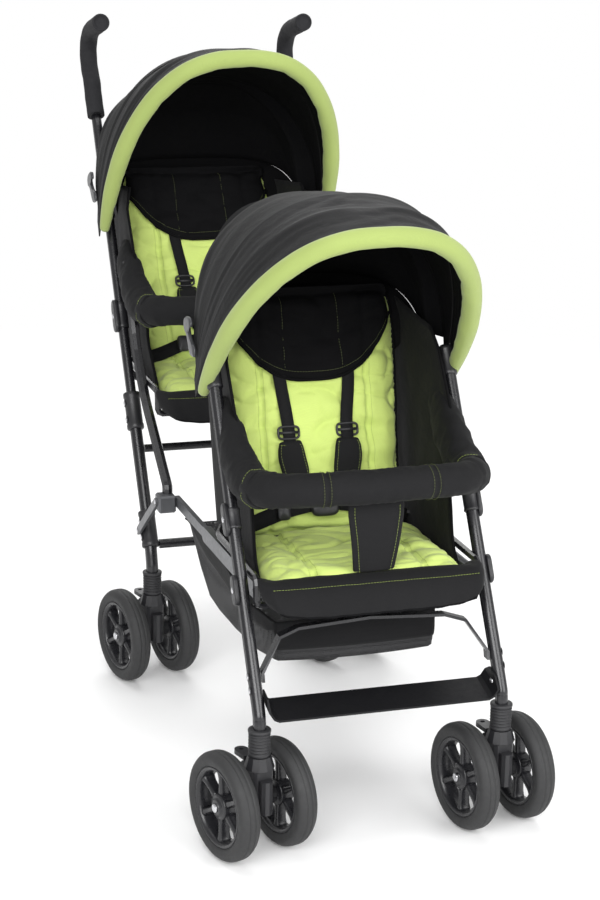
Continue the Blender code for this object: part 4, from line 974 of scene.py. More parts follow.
class BUGGY_OT_seats(bpy.types.Operator):
    """Seat pads with their black front edge and side panels"""
    bl_idname = "buggy.seats"
    bl_label = "Seats"

    def execute(self, context):
        for row, facts in ROWS.items():
            self.pad(row, facts)
            self.front_edge(row, facts)
            self.side_panels(row, facts)
        return {"FINISHED"}

    def pad(self, row, facts):
        low, high = 0.0330, 0.2790
        place = facts["seat"]

        def middle(v):
            y = low + (high - low) * v
            dip = 0.0030 * math.exp(-((y - low) / 0.020) ** 2)
            return place + Vector((0.0, y, 0.3690 - 0.0040 * v - dip)), UP

        def top(spread, v):
            seam = math.exp(-((abs(spread) - 0.56) / 0.055) ** 2)
            return 0.0215 - 0.0040 * seam

        shape = pillow(34, 30, middle, lambda v: 0.1495 + 0.0030 * math.sin(math.pi * v),
                       top, -0.0175)
        pad = puffed(to_object(f"{row}_seat_pad", shape), 0.0050)
        seams = [-0.0830, 0.0830]

        def press(co):
            if co.z - place.z < 0.3700:
                return 0.0
            y = co.y - place.y
            depth = -0.0038 * sum(math.exp(-((co.x - x) / 0.0042) ** 2) for x in seams)
            near = min(abs(co.x - x) for x in seams)
            pull = wrinkle(co, 40.0, 0.0036, (0.35, 1.2, 1.0), 3.0) * math.exp(-near / 0.034)
            fold = wrinkle(co, 22.0, 0.0030, (1.0, 1.5, 1.0), 11.0)
            front = 0.0012 * math.sin(y * 210.0 + co.x * 40.0) * math.exp(-(y - low) / 0.03)
            valley = crease(co, 13.0, 0.0052, (0.8, 1.3, 1.0), 7.0, 3.0)
            valley += crease(co, 27.0, 0.0024, (0.6, 1.2, 1.0), 13.0, 4.0)
            return depth + pull + fold + front * 0.5 + valley

        reshaped(pad, press)
        skin = surface_of(pad)
        lines = []
        for x in seams:
            for step in (-0.0050, 0.0050):
                lines.append([laid(skin, place + Vector((x + step, y, 0.39)), -UP, 0.0002)
                              for y in [low + 0.014 + i * 0.004 for i in range(54)]])
        as_piece(pad, facts["frame"], "lime_fabric", [f"{row}_seat"])
        backed(pad, lambda co: co.z < place.z + 0.3610)
        stitched(f"{row}_seat_pad_stitches", lines, facts["frame"])

    def front_edge(self, row, facts):
        """The hanging black edge under the front of the pad, with its piping and stitches."""
        place = facts["seat"]
        profile = smooth_path([(0, 0.0080, 0.3395), (0, 0.0110, 0.3520), (0, 0.0190, 0.3660),
                               (0, 0.0300, 0.3765), (0, 0.0400, 0.3800), (0, 0.0480, 0.3800),
                               (0, 0.0560, 0.3780)], 4)
        halves = [0.1560, 0.1650, 0.1685, 0.1680, 0.1650, 0.1590, 0.1540]
        columns = 48

        def shape(u, v):
            spread = 2.0 * u - 1.0
            point = profile[round(v * (len(profile) - 1))]
            half = between(halves, v)
            edge = abs(spread)
            lift = (1.0 - v) * 0.0150 * edge ** 6 + 0.0050 * (1.0 - edge ** 4) * v
            out = 0.0014 * math.sin(spread * 31.0 + 2.0 * v) * (1.0 - v)
            seam = sum(math.exp(-((spread - at) / 0.018) ** 2) for at in (-0.52, 0.52))
            fold = wrinkle(Vector((half * spread, point.y, point.z)), 30.0, 0.0022,
                           (1.0, 0.6, 0.6), 5.0)
            back = 0.030 * max(0.0, edge - 0.93) / 0.07 * (1.0 - v * 0.4)
            return place + Vector((half * spread, point.y + out + back + 0.0014 * seam + fold,
                                   point.z + lift))

        sheet = grid(columns, len(profile) - 1, shape)
        edge = subdivided(thickened(to_object(f"{row}_seat_edge", sheet), 0.0042, 0.0))
        skin = surface_of(edge)
        ahead = Vector((0.0, 0.78, -0.62))
        line = [laid(skin, place + Vector((x * 0.004, 0.020, 0.3820)), ahead, 0.0003)
                for x in range(-38, 39)]
        as_piece(edge, facts["frame"], "black_fabric")
        stitched(f"{row}_seat_edge_stitches", [line], facts["frame"])
        rim = [shape(i / columns, 0.0) for i in range(columns + 1)]
        piped(f"{row}_seat_edge_piping", rim, facts["frame"], 0.0022, UP, True)

    def side_panels(self, row, facts):
        place = facts["seat"]
        _, up, behind = back_place(facts)
        corner = Vector((0.0, *HINGE)) + up * 0.2900
        near = facts["panel"]
        front = even_path(smooth_path([(0, 0.0980, 0.3640), (0, 0.1230, 0.3920),
                                       (0, near - 0.0060, 0.4400), (0, near + 0.0005, 0.4700),
                                       (0, near + 0.0005, 0.5300), (0, near + 0.0260, 0.5560),
                                       (0, near + 0.0640, 0.6080), (0, near + 0.0980, 0.6540),
                                       (0, near + 0.1180, 0.6900)], 6), 41)
        top = corner + up * 0.0640 + behind * 0.0180
        back = even_path(smooth_path([(0, HINGE[0] + 0.0500, 0.3640),
                                      (0, HINGE[0] + 0.0660, 0.3900),
                                      corner - up * 0.0600 + behind * 0.0560,
                                      corner + behind * 0.0460, top], 6), 41)
        for name, side in SIDES.items():
            def shape(u, v, side=side):
                point = front[round(v * 40)].lerp(back[round(v * 40)], u)
                swell = math.sin(math.pi * u) * math.sin(math.pi * v)
                flare = (1.0 - u) ** 2 * min(1.0, max(0.0, (v - 0.42) / 0.20))
                flare *= min(1.0, max(0.0, (1.0 - v) / 0.15) + 0.35)
                fold = wrinkle(point, 22.0, 0.0040, (1.0, 1.3, 0.5), side * 4.0 + 9.0)
                fine = wrinkle(point, 60.0, 0.0016, (1.0, 1.0, 0.4), side * 2.0 + 5.0)
                out = 0.1512 + 0.0012 * swell + (fold + fine) * 0.9 * swell + 0.0130 * flare
                out -= 0.0016 * u * u
                return place + Vector((side * out, point.y, point.z))

            panel = thickened(to_object(f"{row}_side_panel_{name}", grid(18, 40, shape)),
                              0.0026)
            as_piece(panel, facts["frame"], "black_fabric")
            edge = [shape(0.0, i / 40) for i in range(41)]
            piping = piped(f"{row}_side_piping_{name}", edge, facts["frame"], 0.0023)
            cut_from(18, 40, shape)


# Backrests

SHOULDER_PAD_HALVES = [0.0165, 0.0205, 0.0218, 0.0222, 0.0215, 0.0195, 0.0150]
STITCH_INSET = 0.80
ADJUSTER = (0.0468, 0.1500)
ADJUSTER_HALF = (0.0165, 0.0095)
# Points over the back pad: distance from the middle, height on the back, lift off the pad
SHOULDER_PAD = [(0.0455, 0.1380, 0.0062), (0.0440, 0.1130, 0.0076), (0.0410, 0.0900, 0.0080),
                (0.0370, 0.0660, 0.0078)]
# Straps: such points, steps, half the width, and whether the strap runs across the back
STRAPS = [([(0.0575, 0.2560, -0.0020), (0.0560, 0.2480, 0.0022), (0.0530, 0.2150, 0.0026),
            (0.0470, 0.1640, 0.0036), (0.0450, 0.1260, 0.0060)], 22, 0.0095, False),
          ([(0.0360, 0.0760, 0.0070), (0.0280, 0.0600, 0.0075), (0.0190, 0.0460, 0.0080)],
           12, 0.0120, False),
          ([(0.1330, 0.0100, 0.0010), (0.1000, 0.0200, 0.0040), (0.0600, 0.0330, 0.0060),
            (0.0180, 0.0410, 0.0070)], 16, 0.0118, True)]


def band(half, thick):
    """The section of a strap, with rounded edges."""
    return [(-half, -thick), (half, -thick), (half + thick * 0.5, 0.0),
            (half, thick), (-half, thick), (-half - thick * 0.5, 0.0)]


def cushion(share):
    """The section of a shoulder pad, which closes at both ends."""
    half = between(SHOULDER_PAD_HALVES, share)
    close = max(0.0, 1.0 - abs(2.0 * share - 1.0) ** 10) ** 0.5
    turns = [TURN * i / 20 for i in range(20)]
    return [(half * eased(math.cos(a), 0.6), 0.0050 * close * eased(math.sin(a), 0.75))
            for a in turns]


class BUGGY_OT_backrests(bpy.types.Operator):
    """Quilted backs with the head pad and the harness"""
    bl_idname = "buggy.backrests"
    bl_label = "Backrests and harnesses"

    def execute(self, context):
        for row, facts in ROWS.items():
            self.pad(row, facts)
            self.head_pad(row, facts)
            self.harness(row, facts)
        return {"FINISHED"}

    def pad(self, row, facts):
        base, up, behind = back_place(facts)
        length = 0.3750

        def half(v):
            width = 0.1310 + 0.0130 * min(1.0, v * 1.4)
            return width * (1.0 - 0.10 * max(0.0, v - 0.88) / 0.12)

        def middle(v):
            return base + up * (-0.0100 + (length + 0.0070) * v) + behind * 0.0150, -behind

        def top(spread, v):
            return 0.0150 + 0.0040 * math.sin(math.pi * v) + 0.0020 * (1.0 - abs(spread))

        shape = pillow(34, 42, middle, half, top, -0.0120, 7.0, 2.4)
        pad = puffed(to_object(f"{row}_back_pad", shape), 0.0045)
        seams = (-0.0850, 0.0850)

        def press(co):
            rel = co - base
            if rel.dot(behind) > 0.0120:
                return 0.0
            v = rel.dot(up) / length
            bend = 0.0850 - 0.0100 * max(0.0, 0.3 - v)
            near = min(abs(co.x - bend), abs(co.x + bend))
            depth = -0.0042 * math.exp(-(near / 0.0045) ** 2)
            pull = wrinkle(co, 38.0, 0.0042, (0.35, 1.0, 1.3), 21.0) * math.exp(-near / 0.034)
            fold = wrinkle(co, 19.0, 0.0034, (0.8, 1.0, 1.6), 31.0)
            hand = 0.0014 * math.exp(-(v / 0.12) ** 2) * math.sin(rel.dot(up) * 300.0)
            valley = crease(co, 13.0, 0.0058, (0.8, 1.0, 1.5), 17.0, 3.0)
            valley += crease(co, 27.0, 0.0026, (0.5, 1.0, 1.3), 27.0, 4.0)
            return depth + pull + fold + hand + valley

        reshaped(pad, press)
        skin = surface_of(pad)
        PADS[row] = skin
        spots = [(abs(vertex.co.x), (vertex.co - base).dot(up)) for vertex in pad.data.vertices]
        levels = [0.006 + 0.355 * i / 40 for i in range(41)]
        edges = [max(x for x, at in spots if abs(at - level) < 0.007) for level in levels]
        lines = []
        for x in seams:
            for step in (-0.0052, 0.0052):
                lines.append([laid(skin, base + up * (0.012 + i * 0.004)
                                   + Vector((x + step, 0, 0)), behind, 0.0002)
                              for i in range(62)])
        as_piece(pad, facts["back"], "lime_fabric", [f"{row}_backrest"])
        backed(pad, lambda co: (co - base).dot(behind) > 0.0165)
        stitched(f"{row}_back_pad_stitches", lines, facts["back"])
        for side, name in ((-1, "left"), (1, "right")):
            edge = [base + up * level + behind * 0.0140
                    + Vector((side * (x + 0.0008), 0, 0)) for level, x in zip(levels, edges)]
            piped(f"{row}_back_piping_{name}", edge, facts["back"], 0.0024)

    def head_pad(self, row, facts):
        """The black pad over the top of the back; its lower edge is a wide U."""
        base, up, behind = back_place(facts)
        skin = PADS[row]

        def low(spread):
            return 0.2280 + 0.1000 * abs(spread) ** 2.8

        def point(spread, v, lift):
            at = low(spread) + (0.3720 - low(spread)) * v
            half = 0.1330 - 0.0060 * v
            spot = base + up * at + Vector((half * spread, 0, 0))
            found = laid(skin, spot, behind, lift)
            return found if found is not None else spot - behind * lift

        def middle_lift(spread, v):
            edge = min(1.0, (1.0 - abs(spread)) / 0.06) * min(1.0, v / 0.05 + 0.25)
            quilt = 0.0016 * sum(math.exp(-((spread - at) / 0.030) ** 2)
                                 for at in (-0.34, 0.34))
            return 0.0012 + 0.0066 * max(edge, 0.0) ** 0.5 - quilt

        def shape(u, v):
            spread = 2.0 * u - 1.0
            spot = point(spread, v, middle_lift(spread, v))
            return spot - behind * wrinkle(spot, 24.0, 0.0016, (1.0, 1.0, 1.0), 41.0)

        pad = thickened(to_object(f"{row}_head_pad", grid(46, 26, shape)), 0.0040, -1.0)
        subdivided(pad)
        as_piece(pad, facts["back"], "black_lining")
        outer = [point(2.0 * i / 60 - 1.0, 0.0, 0.0052) for i in range(61)]
        piped(f"{row}_head_piping", outer, facts["back"], 0.0024, carried=True)
        line = [shape(i / 60, 0.085) - behind * 0.0006 for i in range(2, 59)]
        rows = [line]
        for at in (0.33, 0.67):
            rows.append([shape(at, 0.12 + 0.80 * i / 24) - behind * 0.0004
                         for i in range(25)])
        stitched(f"{row}_head_stitches", rows, facts["back"], "dark_thread")

    def harness(self, row, facts):
        base, up, behind = back_place(facts)
        skin = PADS[row]
        body = facts["back"]

        def over(x, length, lift):
            """A point over the back pad, lifted off its skin."""
            spot = base + up * length + Vector((x, 0, 0))
            found = laid(skin, spot, behind, lift)
            return found if found is not None else spot - behind * (lift + 0.004)

        straps, pads, fittings, lines = [], [], [], []
        for side in SIDES.values():
            for points, count, half, level in STRAPS:
                path = even_path(smooth_path([over(side * x, length, lift)
                                              for x, length, lift in points], 4), count)
                straps.append(lofted(swept(path, lambda s: band(half, 0.0009),
                                           up if level else ACROSS)))
            middle = even_path(smooth_path([over(side * x, length, lift)
                                            for x, length, lift in SHOULDER_PAD], 5), 22)
            pads.append(lofted(swept(middle, cushion)))
            lines.append(self.pad_stitches(middle, behind))
            at = (side * ADJUSTER[0], ADJUSTER[1])
            fittings.append(self.adjuster_ring(over(*at, 0.0058), up, behind))
            fittings.append(self.adjuster_bar(over(*at, 0.0060), up, behind))
            fittings.append(self.waist_case(over(side * 0.0640, 0.0325, 0.0072), up, behind))
        piece(f"{row}_harness_straps", joined(straps), body, "strap_webbing",
              [f"{row}_harness"])
        pads_piece = piece(f"{row}_shoulder_pads", joined(pads), body, "black_fabric")
        subdivided(pads_piece)
        stitched(f"{row}_shoulder_pad_stitches", lines, body)
        piece(f"{row}_strap_adjusters", joined(fittings), body, "black_plastic")
        self.buckle(row, facts, over(0.0, 0.0440, 0.0085))

    def pad_stitches(self, middle, behind):
        """One line of stitches round the front of a shoulder pad."""
        shares = [s / 20 for s in range(2, 19)]
        outline = [(share, -STITCH_INSET) for share in shares]
        outline += [(share, STITCH_INSET) for share in reversed(shares)]
        return [middle[round(share * 21)]
                + ACROSS * (between(SHOULDER_PAD_HALVES, share) * edge) - behind * 0.0040
                for share, edge in closed(outline)]

    def adjuster_ring(self, spot, up, behind):
        loop = oval(spot, ACROSS, up, *ADJUSTER_HALF, 20, 0.5)
        return lofted(swept([*loop, loop[0], loop[1]], lambda s: ring(0.0019, 8), behind, True))

    def adjuster_bar(self, spot, up, behind):
        return lofted([[spot + ACROSS * (x * 0.0150) + up * (z * 0.0022)
                        - behind * (d * 0.0016) for x, z, d in
                        ((end, -1, -1), (end, 1, -1), (end, 1, 1), (end, -1, 1))]
                       for end in (-1, 1)])

    def waist_case(self, spot, up, behind):
        """The small case of the waist strap's adjuster."""
        return lofted([oval(spot - behind * depth, ACROSS, up, 0.0105 * inset, 0.0145 * inset,
                            28, 0.5)
                       for inset, depth in ((0.90, -0.0030), (1.0, -0.0016), (1.0, 0.0026),
                                            (0.90, 0.0042), (0.08, 0.0046))])

    def buckle(self, row, facts, spot):
        _, up, behind = back_place(facts)
        outline = []
        for i in range(36):
            a = TURN * i / 36
            x = 0.0210 * eased(math.cos(a), 0.55)
            z = 0.0240 * eased(math.sin(a), 0.55)
            outline.append((x * (1.0 - z * 5.0), z))
        rings = []
        for inset, depth in ((0.90, -0.0050), (1.0, -0.0030), (1.0, 0.0025), (0.94, 0.0048),
                             (0.80, 0.0062), (0.40, 0.0068), (0.05, 0.0070)):
            rings.append([spot + ACROSS * (x * inset) + up * (z * inset) - behind * depth
                          for x, z in outline])
        case = lofted(rings)
        button = [oval(spot - up * 0.002 - behind * depth, ACROSS, up, 0.0085 * inset,
                       0.0085 * inset, 28)
                  for inset, depth in ((1.0, 0.0050), (1.0, 0.0078), (0.86, 0.0090),
                                       (0.05, 0.0086))]
        piece(f"{row}_buckle", joined([case, lofted(button)]), facts["back"], "black_plastic")


# Bumpers

# Each armrest station: x, y and z of its centre, then half its width and half its height
ARMREST_STATIONS = [(0.1570, 0.0720, 0.5122, 0.0262, 0.0262),
                    (0.1615, 0.0950, 0.5095, 0.0268, 0.0285),
                    (0.1645, 0.1280, 0.5140, 0.0252, 0.0325),
                    (0.1665, 0.1700, 0.5300, 0.0228, 0.0375),
                    (0.1680, 0.2130, 0.5520, 0.0205, 0.0410),
                    (0.1670, 0.2500, 0.5730, 0.0150, 0.0370),
                    (0.1640, 0.2740, 0.5840, 0.0060, 0.0240)]


def crotch_half(share):
    """Half the width of the panel between the legs, which widens upwards."""
    return 0.0290 + 0.0110 * min(1.0, share * 1.3)


class BUGGY_OT_bumpers(bpy.types.Operator):
    """Padded bars with their end sleeves and the panel between the legs"""
    bl_idname = "buggy.bumpers"
    bl_label = "Bumper bars"

    def execute(self, context):
        for row, facts in ROWS.items():
            self.bar(row, facts)
            self.sleeves(row, facts)
            self.crotch_panel(row, facts)
        return {"FINISHED"}

    def path(self, facts, count):
        half = [(0.1630, 0.1360, 0.5060), (0.1625, 0.1080, 0.5075), (0.1570, 0.0760, 0.5115),
                (0.1380, 0.0500, 0.5155), (0.1050, 0.0360, 0.5175), (0.0500, 0.0292, 0.5190),
                (0.0, 0.0280, 0.5190)]
        points = [facts["bumper"] + Vector(p) for p in half]
        points += [facts["bumper"] + Vector((-p[0], p[1], p[2])) for p in reversed(half[:-1])]
        return even_path(smooth_path(points, 8), count)

    def bar(self, row, facts):
        radius = size("bumper_radius")
        path = self.path(facts, 150)
        total = len(path) - 1
        seams = (0.335, 0.665)
        cuffs = (0.185, 0.815)
        count = 36

        def section(share):
            points = []
            groove = sum(0.0024 * math.exp(-((share - at) / 0.0045) ** 2) for at in seams)
            inside = cuffs[0] < share < cuffs[1]
            full = radius - (0.0010 if inside else -0.0008) - groove
            near = min(abs(share - at) for at in (*cuffs, *seams))
            for i in range(count):
                a = TURN * i / count
                spot = Vector((math.cos(a) * 1.4, math.sin(a) * 1.4, share * 26.0))
                gather = noise(spot) * 0.0016
                gather += noise(spot * 2.3 + Vector((4, 4, 4))) * 0.0009
                crinkle = math.sin(a * 9.0 + noise(spot) * 3.0) * 0.0009
                gather += crinkle * math.exp(-near / 0.02)
                points.append(((full + gather) * math.cos(a), (full + gather) * math.sin(a)))
            return points

        rings = swept(path, section, UP)
        start = [drawn_in(rings[0], path[0], s) for s in (0.1, 0.72, 0.93)]
        end = [drawn_in(rings[-1], path[-1], s) for s in (0.93, 0.72, 0.1)]
        bar = piece(f"{row}_bumper_bar", lofted([*start, *rings, *end]), facts["frame"],
                    "black_fabric", [f"{row}_bumper"])

        lines = []
        for at in seams:
            for step in (-0.004, 0.012):
                spot = round((at + step) * total)
                ahead = (path[spot + 1] - path[spot - 1]).normalized()
                first = (UP - ahead * ahead.z).normalized()
                across = ahead.cross(first)
                lines.append(closed(oval(path[spot], first, across, radius - 0.0002,
                                         radius - 0.0002, 40)))
        stitched(f"{row}_bumper_stitches", lines, facts["frame"], "dark_thread")

    def sleeves(self, row, facts):
        """The fabric that goes on from the bar's ends to the legs as armrests."""
        lines = []
        for name, side in SIDES.items():
            path = even_path(smooth_path([facts["bumper"] + Vector((side * x, y, z))
                                          for x, y, z, _, _ in ARMREST_STATIONS], 8), 60)
            wide = [item[3] for item in ARMREST_STATIONS]
            tall = [item[4] for item in ARMREST_STATIONS]

            def section(share, side=side):
                points = []
                close = max(0.05, 1.0 - max(0.0, share - 0.93) / 0.07) ** 0.5
                for i in range(36):
                    a = TURN * i / 36
                    spot = Vector((math.cos(a) * 1.3, math.sin(a) * 1.3,
                                   share * 7.0 + side * 3.0))
                    fold = noise(spot) * 0.0034 + noise(spot * 2.6) * 0.0016
                    reach = 1.0 if share > 0.06 else 1.0 + (0.06 - share) * 0.2
                    points.append((((between(wide, share) + fold) * math.cos(a)) * close * reach,
                                   ((between(tall, share) + fold) * math.sin(a)) * close))
                return points

            rings = swept(path, section)
            first = [drawn_in(rings[0], path[0], s) for s in (0.86, 0.97)]
            cover = piece(f"{row}_armrest_{name}", lofted([*first, *rings]), facts["frame"],
                          "black_fabric")
            lines.append(closed(drawn_in(rings[4], path[4], 1.012)))
        stitched(f"{row}_armrest_stitches", lines, facts["frame"])

    def crotch_panel(self, row, facts):
        place = facts["bumper"]
        seat = facts["seat"]
        centre = place + Vector((0.0, 0.0280, 0.5190))
        foot = Vector((0.0, 0.0440, 0.3885)) + seat
        high = centre + Vector((0.0, 0.0130, -0.0180))
        bend = foot.lerp(high, 0.45) + Vector((0.0, -0.0050, 0.0))
        path = even_path(smooth_path([foot, bend, high], 10), 30)

        def section(share):
            half = crotch_half(share)
            return [(-half, -0.0028), (half, -0.0028), (half + 0.0022, 0.0),
                    (half, 0.0034), (half * 0.5, 0.0050), (0, 0.0056), (-half * 0.5, 0.0050),
                    (-half, 0.0034), (-half - 0.0022, 0.0)]

        panel = to_object(f"{row}_crotch_panel", lofted(swept(path, section)))
        subdivided(panel)
        as_piece(panel, facts["frame"], "black_fabric")
        lines = []
        for side in (-1, 1):
            line = []
            for i in range(1, 26):
                half = crotch_half(i / 29)
                ahead = (path[i + 1] - path[i - 1]).normalized()
                out = ahead.cross(ACROSS)
                line.append(path[i] + ACROSS * (side * (half - 0.0065))
                            + out * (0.0052 if out.y < 0 else -0.0052))
            lines.append(line)
        stitched(f"{row}_crotch_panel_stitches", lines, facts["frame"])


# Hoods

BOW_LOWS = [(0.2850, 0.5940), (0.2880, 0.6060), (0.2920, 0.6200)]
BOW_HIGHS = [(0.0350, 0.8770), (0.1100, 0.8960), (0.2000, 0.9020)]
BACK_LOWS = [(0.2920, 0.6220), (0.2980, 0.6420), (0.3020, 0.6610), (0.3060, 0.6690),
             (0.3180, 0.6730), (0.3300, 0.6770)]
BACK_HIGHS = [(0.1820, 0.8983), (0.2930, 0.8900), (0.3650, 0.8810), (0.3800, 0.8720),
              (0.4240, 0.8200), (0.4520, 0.7400)]


def arch_point(half, low, high, share, square):
    angle = math.pi * share
    wide = eased(math.cos(angle), 2.0 / square)
    tall = max(math.sin(angle), 0.0) ** (2.0 / square)
    return Vector((-half * wide, low[0] + (high[0] - low[0]) * tall,
                   low[1] + (high[1] - low[1]) * tall))


def arch_share(u):
    """Spreads the points of an arch more evenly along its length."""
    return u - 0.045 * math.sin(4.0 * math.pi * u)


def hood_turn(facts):
    """Turns a row's hood about its hinges and moves it to its place."""
    hinge = Matrix.Translation((0.0, *HOOD_PIVOT))
    turn = Matrix.Rotation(math.radians(-facts["turn"]), 4, "X")
    return Matrix.Translation(facts["canopy"]) @ hinge @ turn @ hinge.inverted()


class BUGGY_OT_hoods(bpy.types.Operator):
    """Hoods: moving sheet with its padded lime edge and catches, and the fixed rear"""
    bl_idname = "buggy.hoods"
    bl_label = "Hoods"

    def execute(self, context):
        for row, facts in ROWS.items():
            half = size("hood_half") + facts["wider"]
            self.sheet(f"{row}_hood_sheet", facts, facts["hood"], f"{row}_canopy", BOW_LOWS,
                       BOW_HIGHS, [half - 0.0003] * 3, 2.45, 30)
            self.sheet(f"{row}_hood_rear", facts, facts["frame"], f"{row}_canopy_back",
                       BACK_LOWS, BACK_HIGHS, [half - 0.0036] * 3 + [0.1700] * 3, 2.45, 40)
            self.curtain(row, facts)
            self.padded_edge(row, facts, half)
            self.catches(row, facts, half)
        return {"FINISHED"}

    def curtain(self, row, facts):
        """The lining that hangs from the rear of the hood to the top of the back."""
        base, up, behind = back_place(facts)
        turn = hood_turn(facts)

        def shape(u, v):
            low, high = Vector(BACK_LOWS[-1]), Vector(BACK_HIGHS[-1])
            top = turn @ arch_point(0.1672, low, high, arch_share(u), 3.2)
            spread = 2.0 * u - 1.0
            down = 0.3560 - 0.0900 * abs(spread) ** 5
            foot = base + up * down + behind * 0.0290 + ACROSS * (0.1420 * spread)
            point = top.lerp(foot, v)
            sag = math.sin(math.pi * v) * 0.0060
            fold = noise(Vector((u * 11.0, v * 2.0, 7.0))) * 0.0050 * math.sin(math.pi * v)
            return point + Vector((0.0, sag + fold, 0.0))

        sheet = thickened(to_object(f"{row}_hood_curtain", grid(60, 12, shape)), 0.0014)
        as_piece(sheet, None, "black_lining")
        cut_from(60, 12, shape)
        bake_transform(sheet)

    def sheet(self, name, facts, body, node_name, lows, highs, halves, square, along):
        def shape(u, v):
            low, _ = point_along(lows, v)
            high, mix = point_along(highs, v)
            half = between(halves, v)
            bend = 3.2 if half < 0.172 and "rear" in name else square
            point = arch_point(half, low, high, arch_share(u), bend)
            centre = Vector((0.0, low.x, low.y + 0.08))
            inward = (centre - point).normalized()
            crown = math.sin(math.pi * u)
            sag = math.sin(math.pi * mix) * 0.0032 * crown
            folds = noise(Vector((u * 5.0 + v * 2.0, v * 4.0, len(name)))) * 0.0040
            folds += noise(Vector((u * 9.0, v * 16.0, 5.0))) * 0.0016
            pulls = noise(Vector((u * 14.0 - v * 5.0, v * 9.0, 2.0))) * 0.0016
            hem = min(1.0, v * 8.0, (1.0 - v) * 8.0 + 0.2)
            return point + inward * (0.0012 + sag
                                     + max(-0.0010, (folds + pulls) * crown ** 0.5) * hem)

        sheet = to_object(name, grid(96, along, shape))
        sheet.data.transform(hood_turn(facts))
        wall = sheet.modifiers.new("wall", "SOLIDIFY")
        wall.thickness = 0.0022
        wall.offset = 0.0
        wall.material_offset = 1
        wall.material_offset_rim = 0
        bm = bmesh.new()
        bm.from_mesh(sheet.data)
        bmesh.ops.recalc_face_normals(bm, faces=bm.faces)
        middle = min(bm.faces, key=lambda f: abs(f.calc_center_median().x))
        centre = Vector((0.0, *HOOD_PIVOT)) + facts["canopy"]
        if middle.normal.dot(middle.calc_center_median() - centre) < 0.0:
            bmesh.ops.reverse_faces(bm, faces=bm.faces)
        bm.to_mesh(sheet.data)
        bm.free()
        sheet.data.materials.append(MATERIALS["charcoal_fabric"])
        sheet.data.materials.append(MATERIALS["black_lining"])
        settled(sheet)
        as_piece(sheet, body, None, [node_name])
        cut_from(96, along, shape)

    def padded_edge(self, row, facts, half):
        radius = size("edge_radius")
        low, high = Vector(BOW_LOWS[0]), Vector(BOW_HIGHS[0])
        ahead = (high - Vector(BOW_HIGHS[1])).normalized() * (radius * 0.55)
        points = []
        for i in range(201):
            share = arch_share(0.012 + 0.976 * i / 200)
            point = arch_point(half - 0.0082, low + Vector((0.0, 0.0040)),
                               high - Vector((0.0, 0.0072)), share, 2.45)
            points.append(point + Vector((0.0, ahead.x, ahead.y)))
        path = even_path(points, 240)
        centre = Vector((0.0, low.x, low.y + 0.10))
        count = 28

        def section(share):
            near = min(share, 1.0 - share)
            full = radius * (0.52 + 0.48 * min(1.0, (near / 0.16) ** 0.55)) - 0.0003
            made = []
            for i in range(count):
                a = TURN * i / count
                inner = max(0.0, math.cos(a))
                pulse = noise(Vector((share * 46.0, 3.0, 1.0)))
                pinch = max(0.0, noise(Vector((share * 30.0, 9.0, 4.0)))) ** 0.7
                gather = inner * (0.0024 * pinch + 0.0010 * pulse)
                gather += 0.0008 * noise(Vector((share * 18.0, math.cos(a), math.sin(a))))
                made.append(((full - gather) * math.cos(a), (full - gather) * math.sin(a)))
            return made

        rings = []
        total = len(path) - 1
        for i, point in enumerate(path):
            tangent = (path[min(i + 1, total)] - path[max(i - 1, 0)]).normalized()
            inward = centre - point
            first = (inward - tangent * inward.dot(tangent)).normalized()
            second = tangent.cross(first)
            rings.append([point + first * a + second * b for a, b in section(i / total)])
        start = [drawn_in(rings[0], path[0], s) for s in (0.25, 0.80)]
        end = [drawn_in(rings[-1], path[-1], s) for s in (0.80, 0.25)]
        roll = to_object(f"{row}_hood_edge", lofted([*start, *rings, *end]))
        roll.data.transform(hood_turn(facts))
        # The edge takes the darker copy of the lime: painted shade
        as_piece(roll, facts["hood"], "shaded_lime_edge")

    def catches(self, row, facts, half):
        """The grey hooked catches on the sides of the hood."""
        for name, side in SIDES.items():
            outline = smooth_path([(0, 0.2780, 0.6560), (0, 0.2990, 0.6540),
                                   (0, 0.3090, 0.6640), (0, 0.3220, 0.6800),
                                   (0, 0.3400, 0.6890), (0, 0.3390, 0.7020),
                                   (0, 0.3190, 0.7090), (0, 0.3020, 0.7070),
                                   (0, 0.2990, 0.6970), (0, 0.3110, 0.6950),
                                   (0, 0.3060, 0.6850), (0, 0.2940, 0.6760),
                                   (0, 0.2800, 0.6690), (0, 0.2780, 0.6560)], 4)[:-1]
            x = half + 0.0004
            rings = []
            middle = sum(outline, Vector()) / len(outline)
            for inset, depth in ((0.98, 0.0), (1.0, 0.0022), (0.94, 0.0040), (0.80, 0.0048),
                                 (0.3, 0.0050)):
                rings.append(drawn_in(outline, middle, inset, ACROSS * (side * (x + depth))))
            catch = to_object(f"{row}_hood_catch_{name}", lofted(rings))
            catch.data.transform(hood_turn(facts))
            as_piece(catch, facts["hood"], "grey_plastic")


# Basket

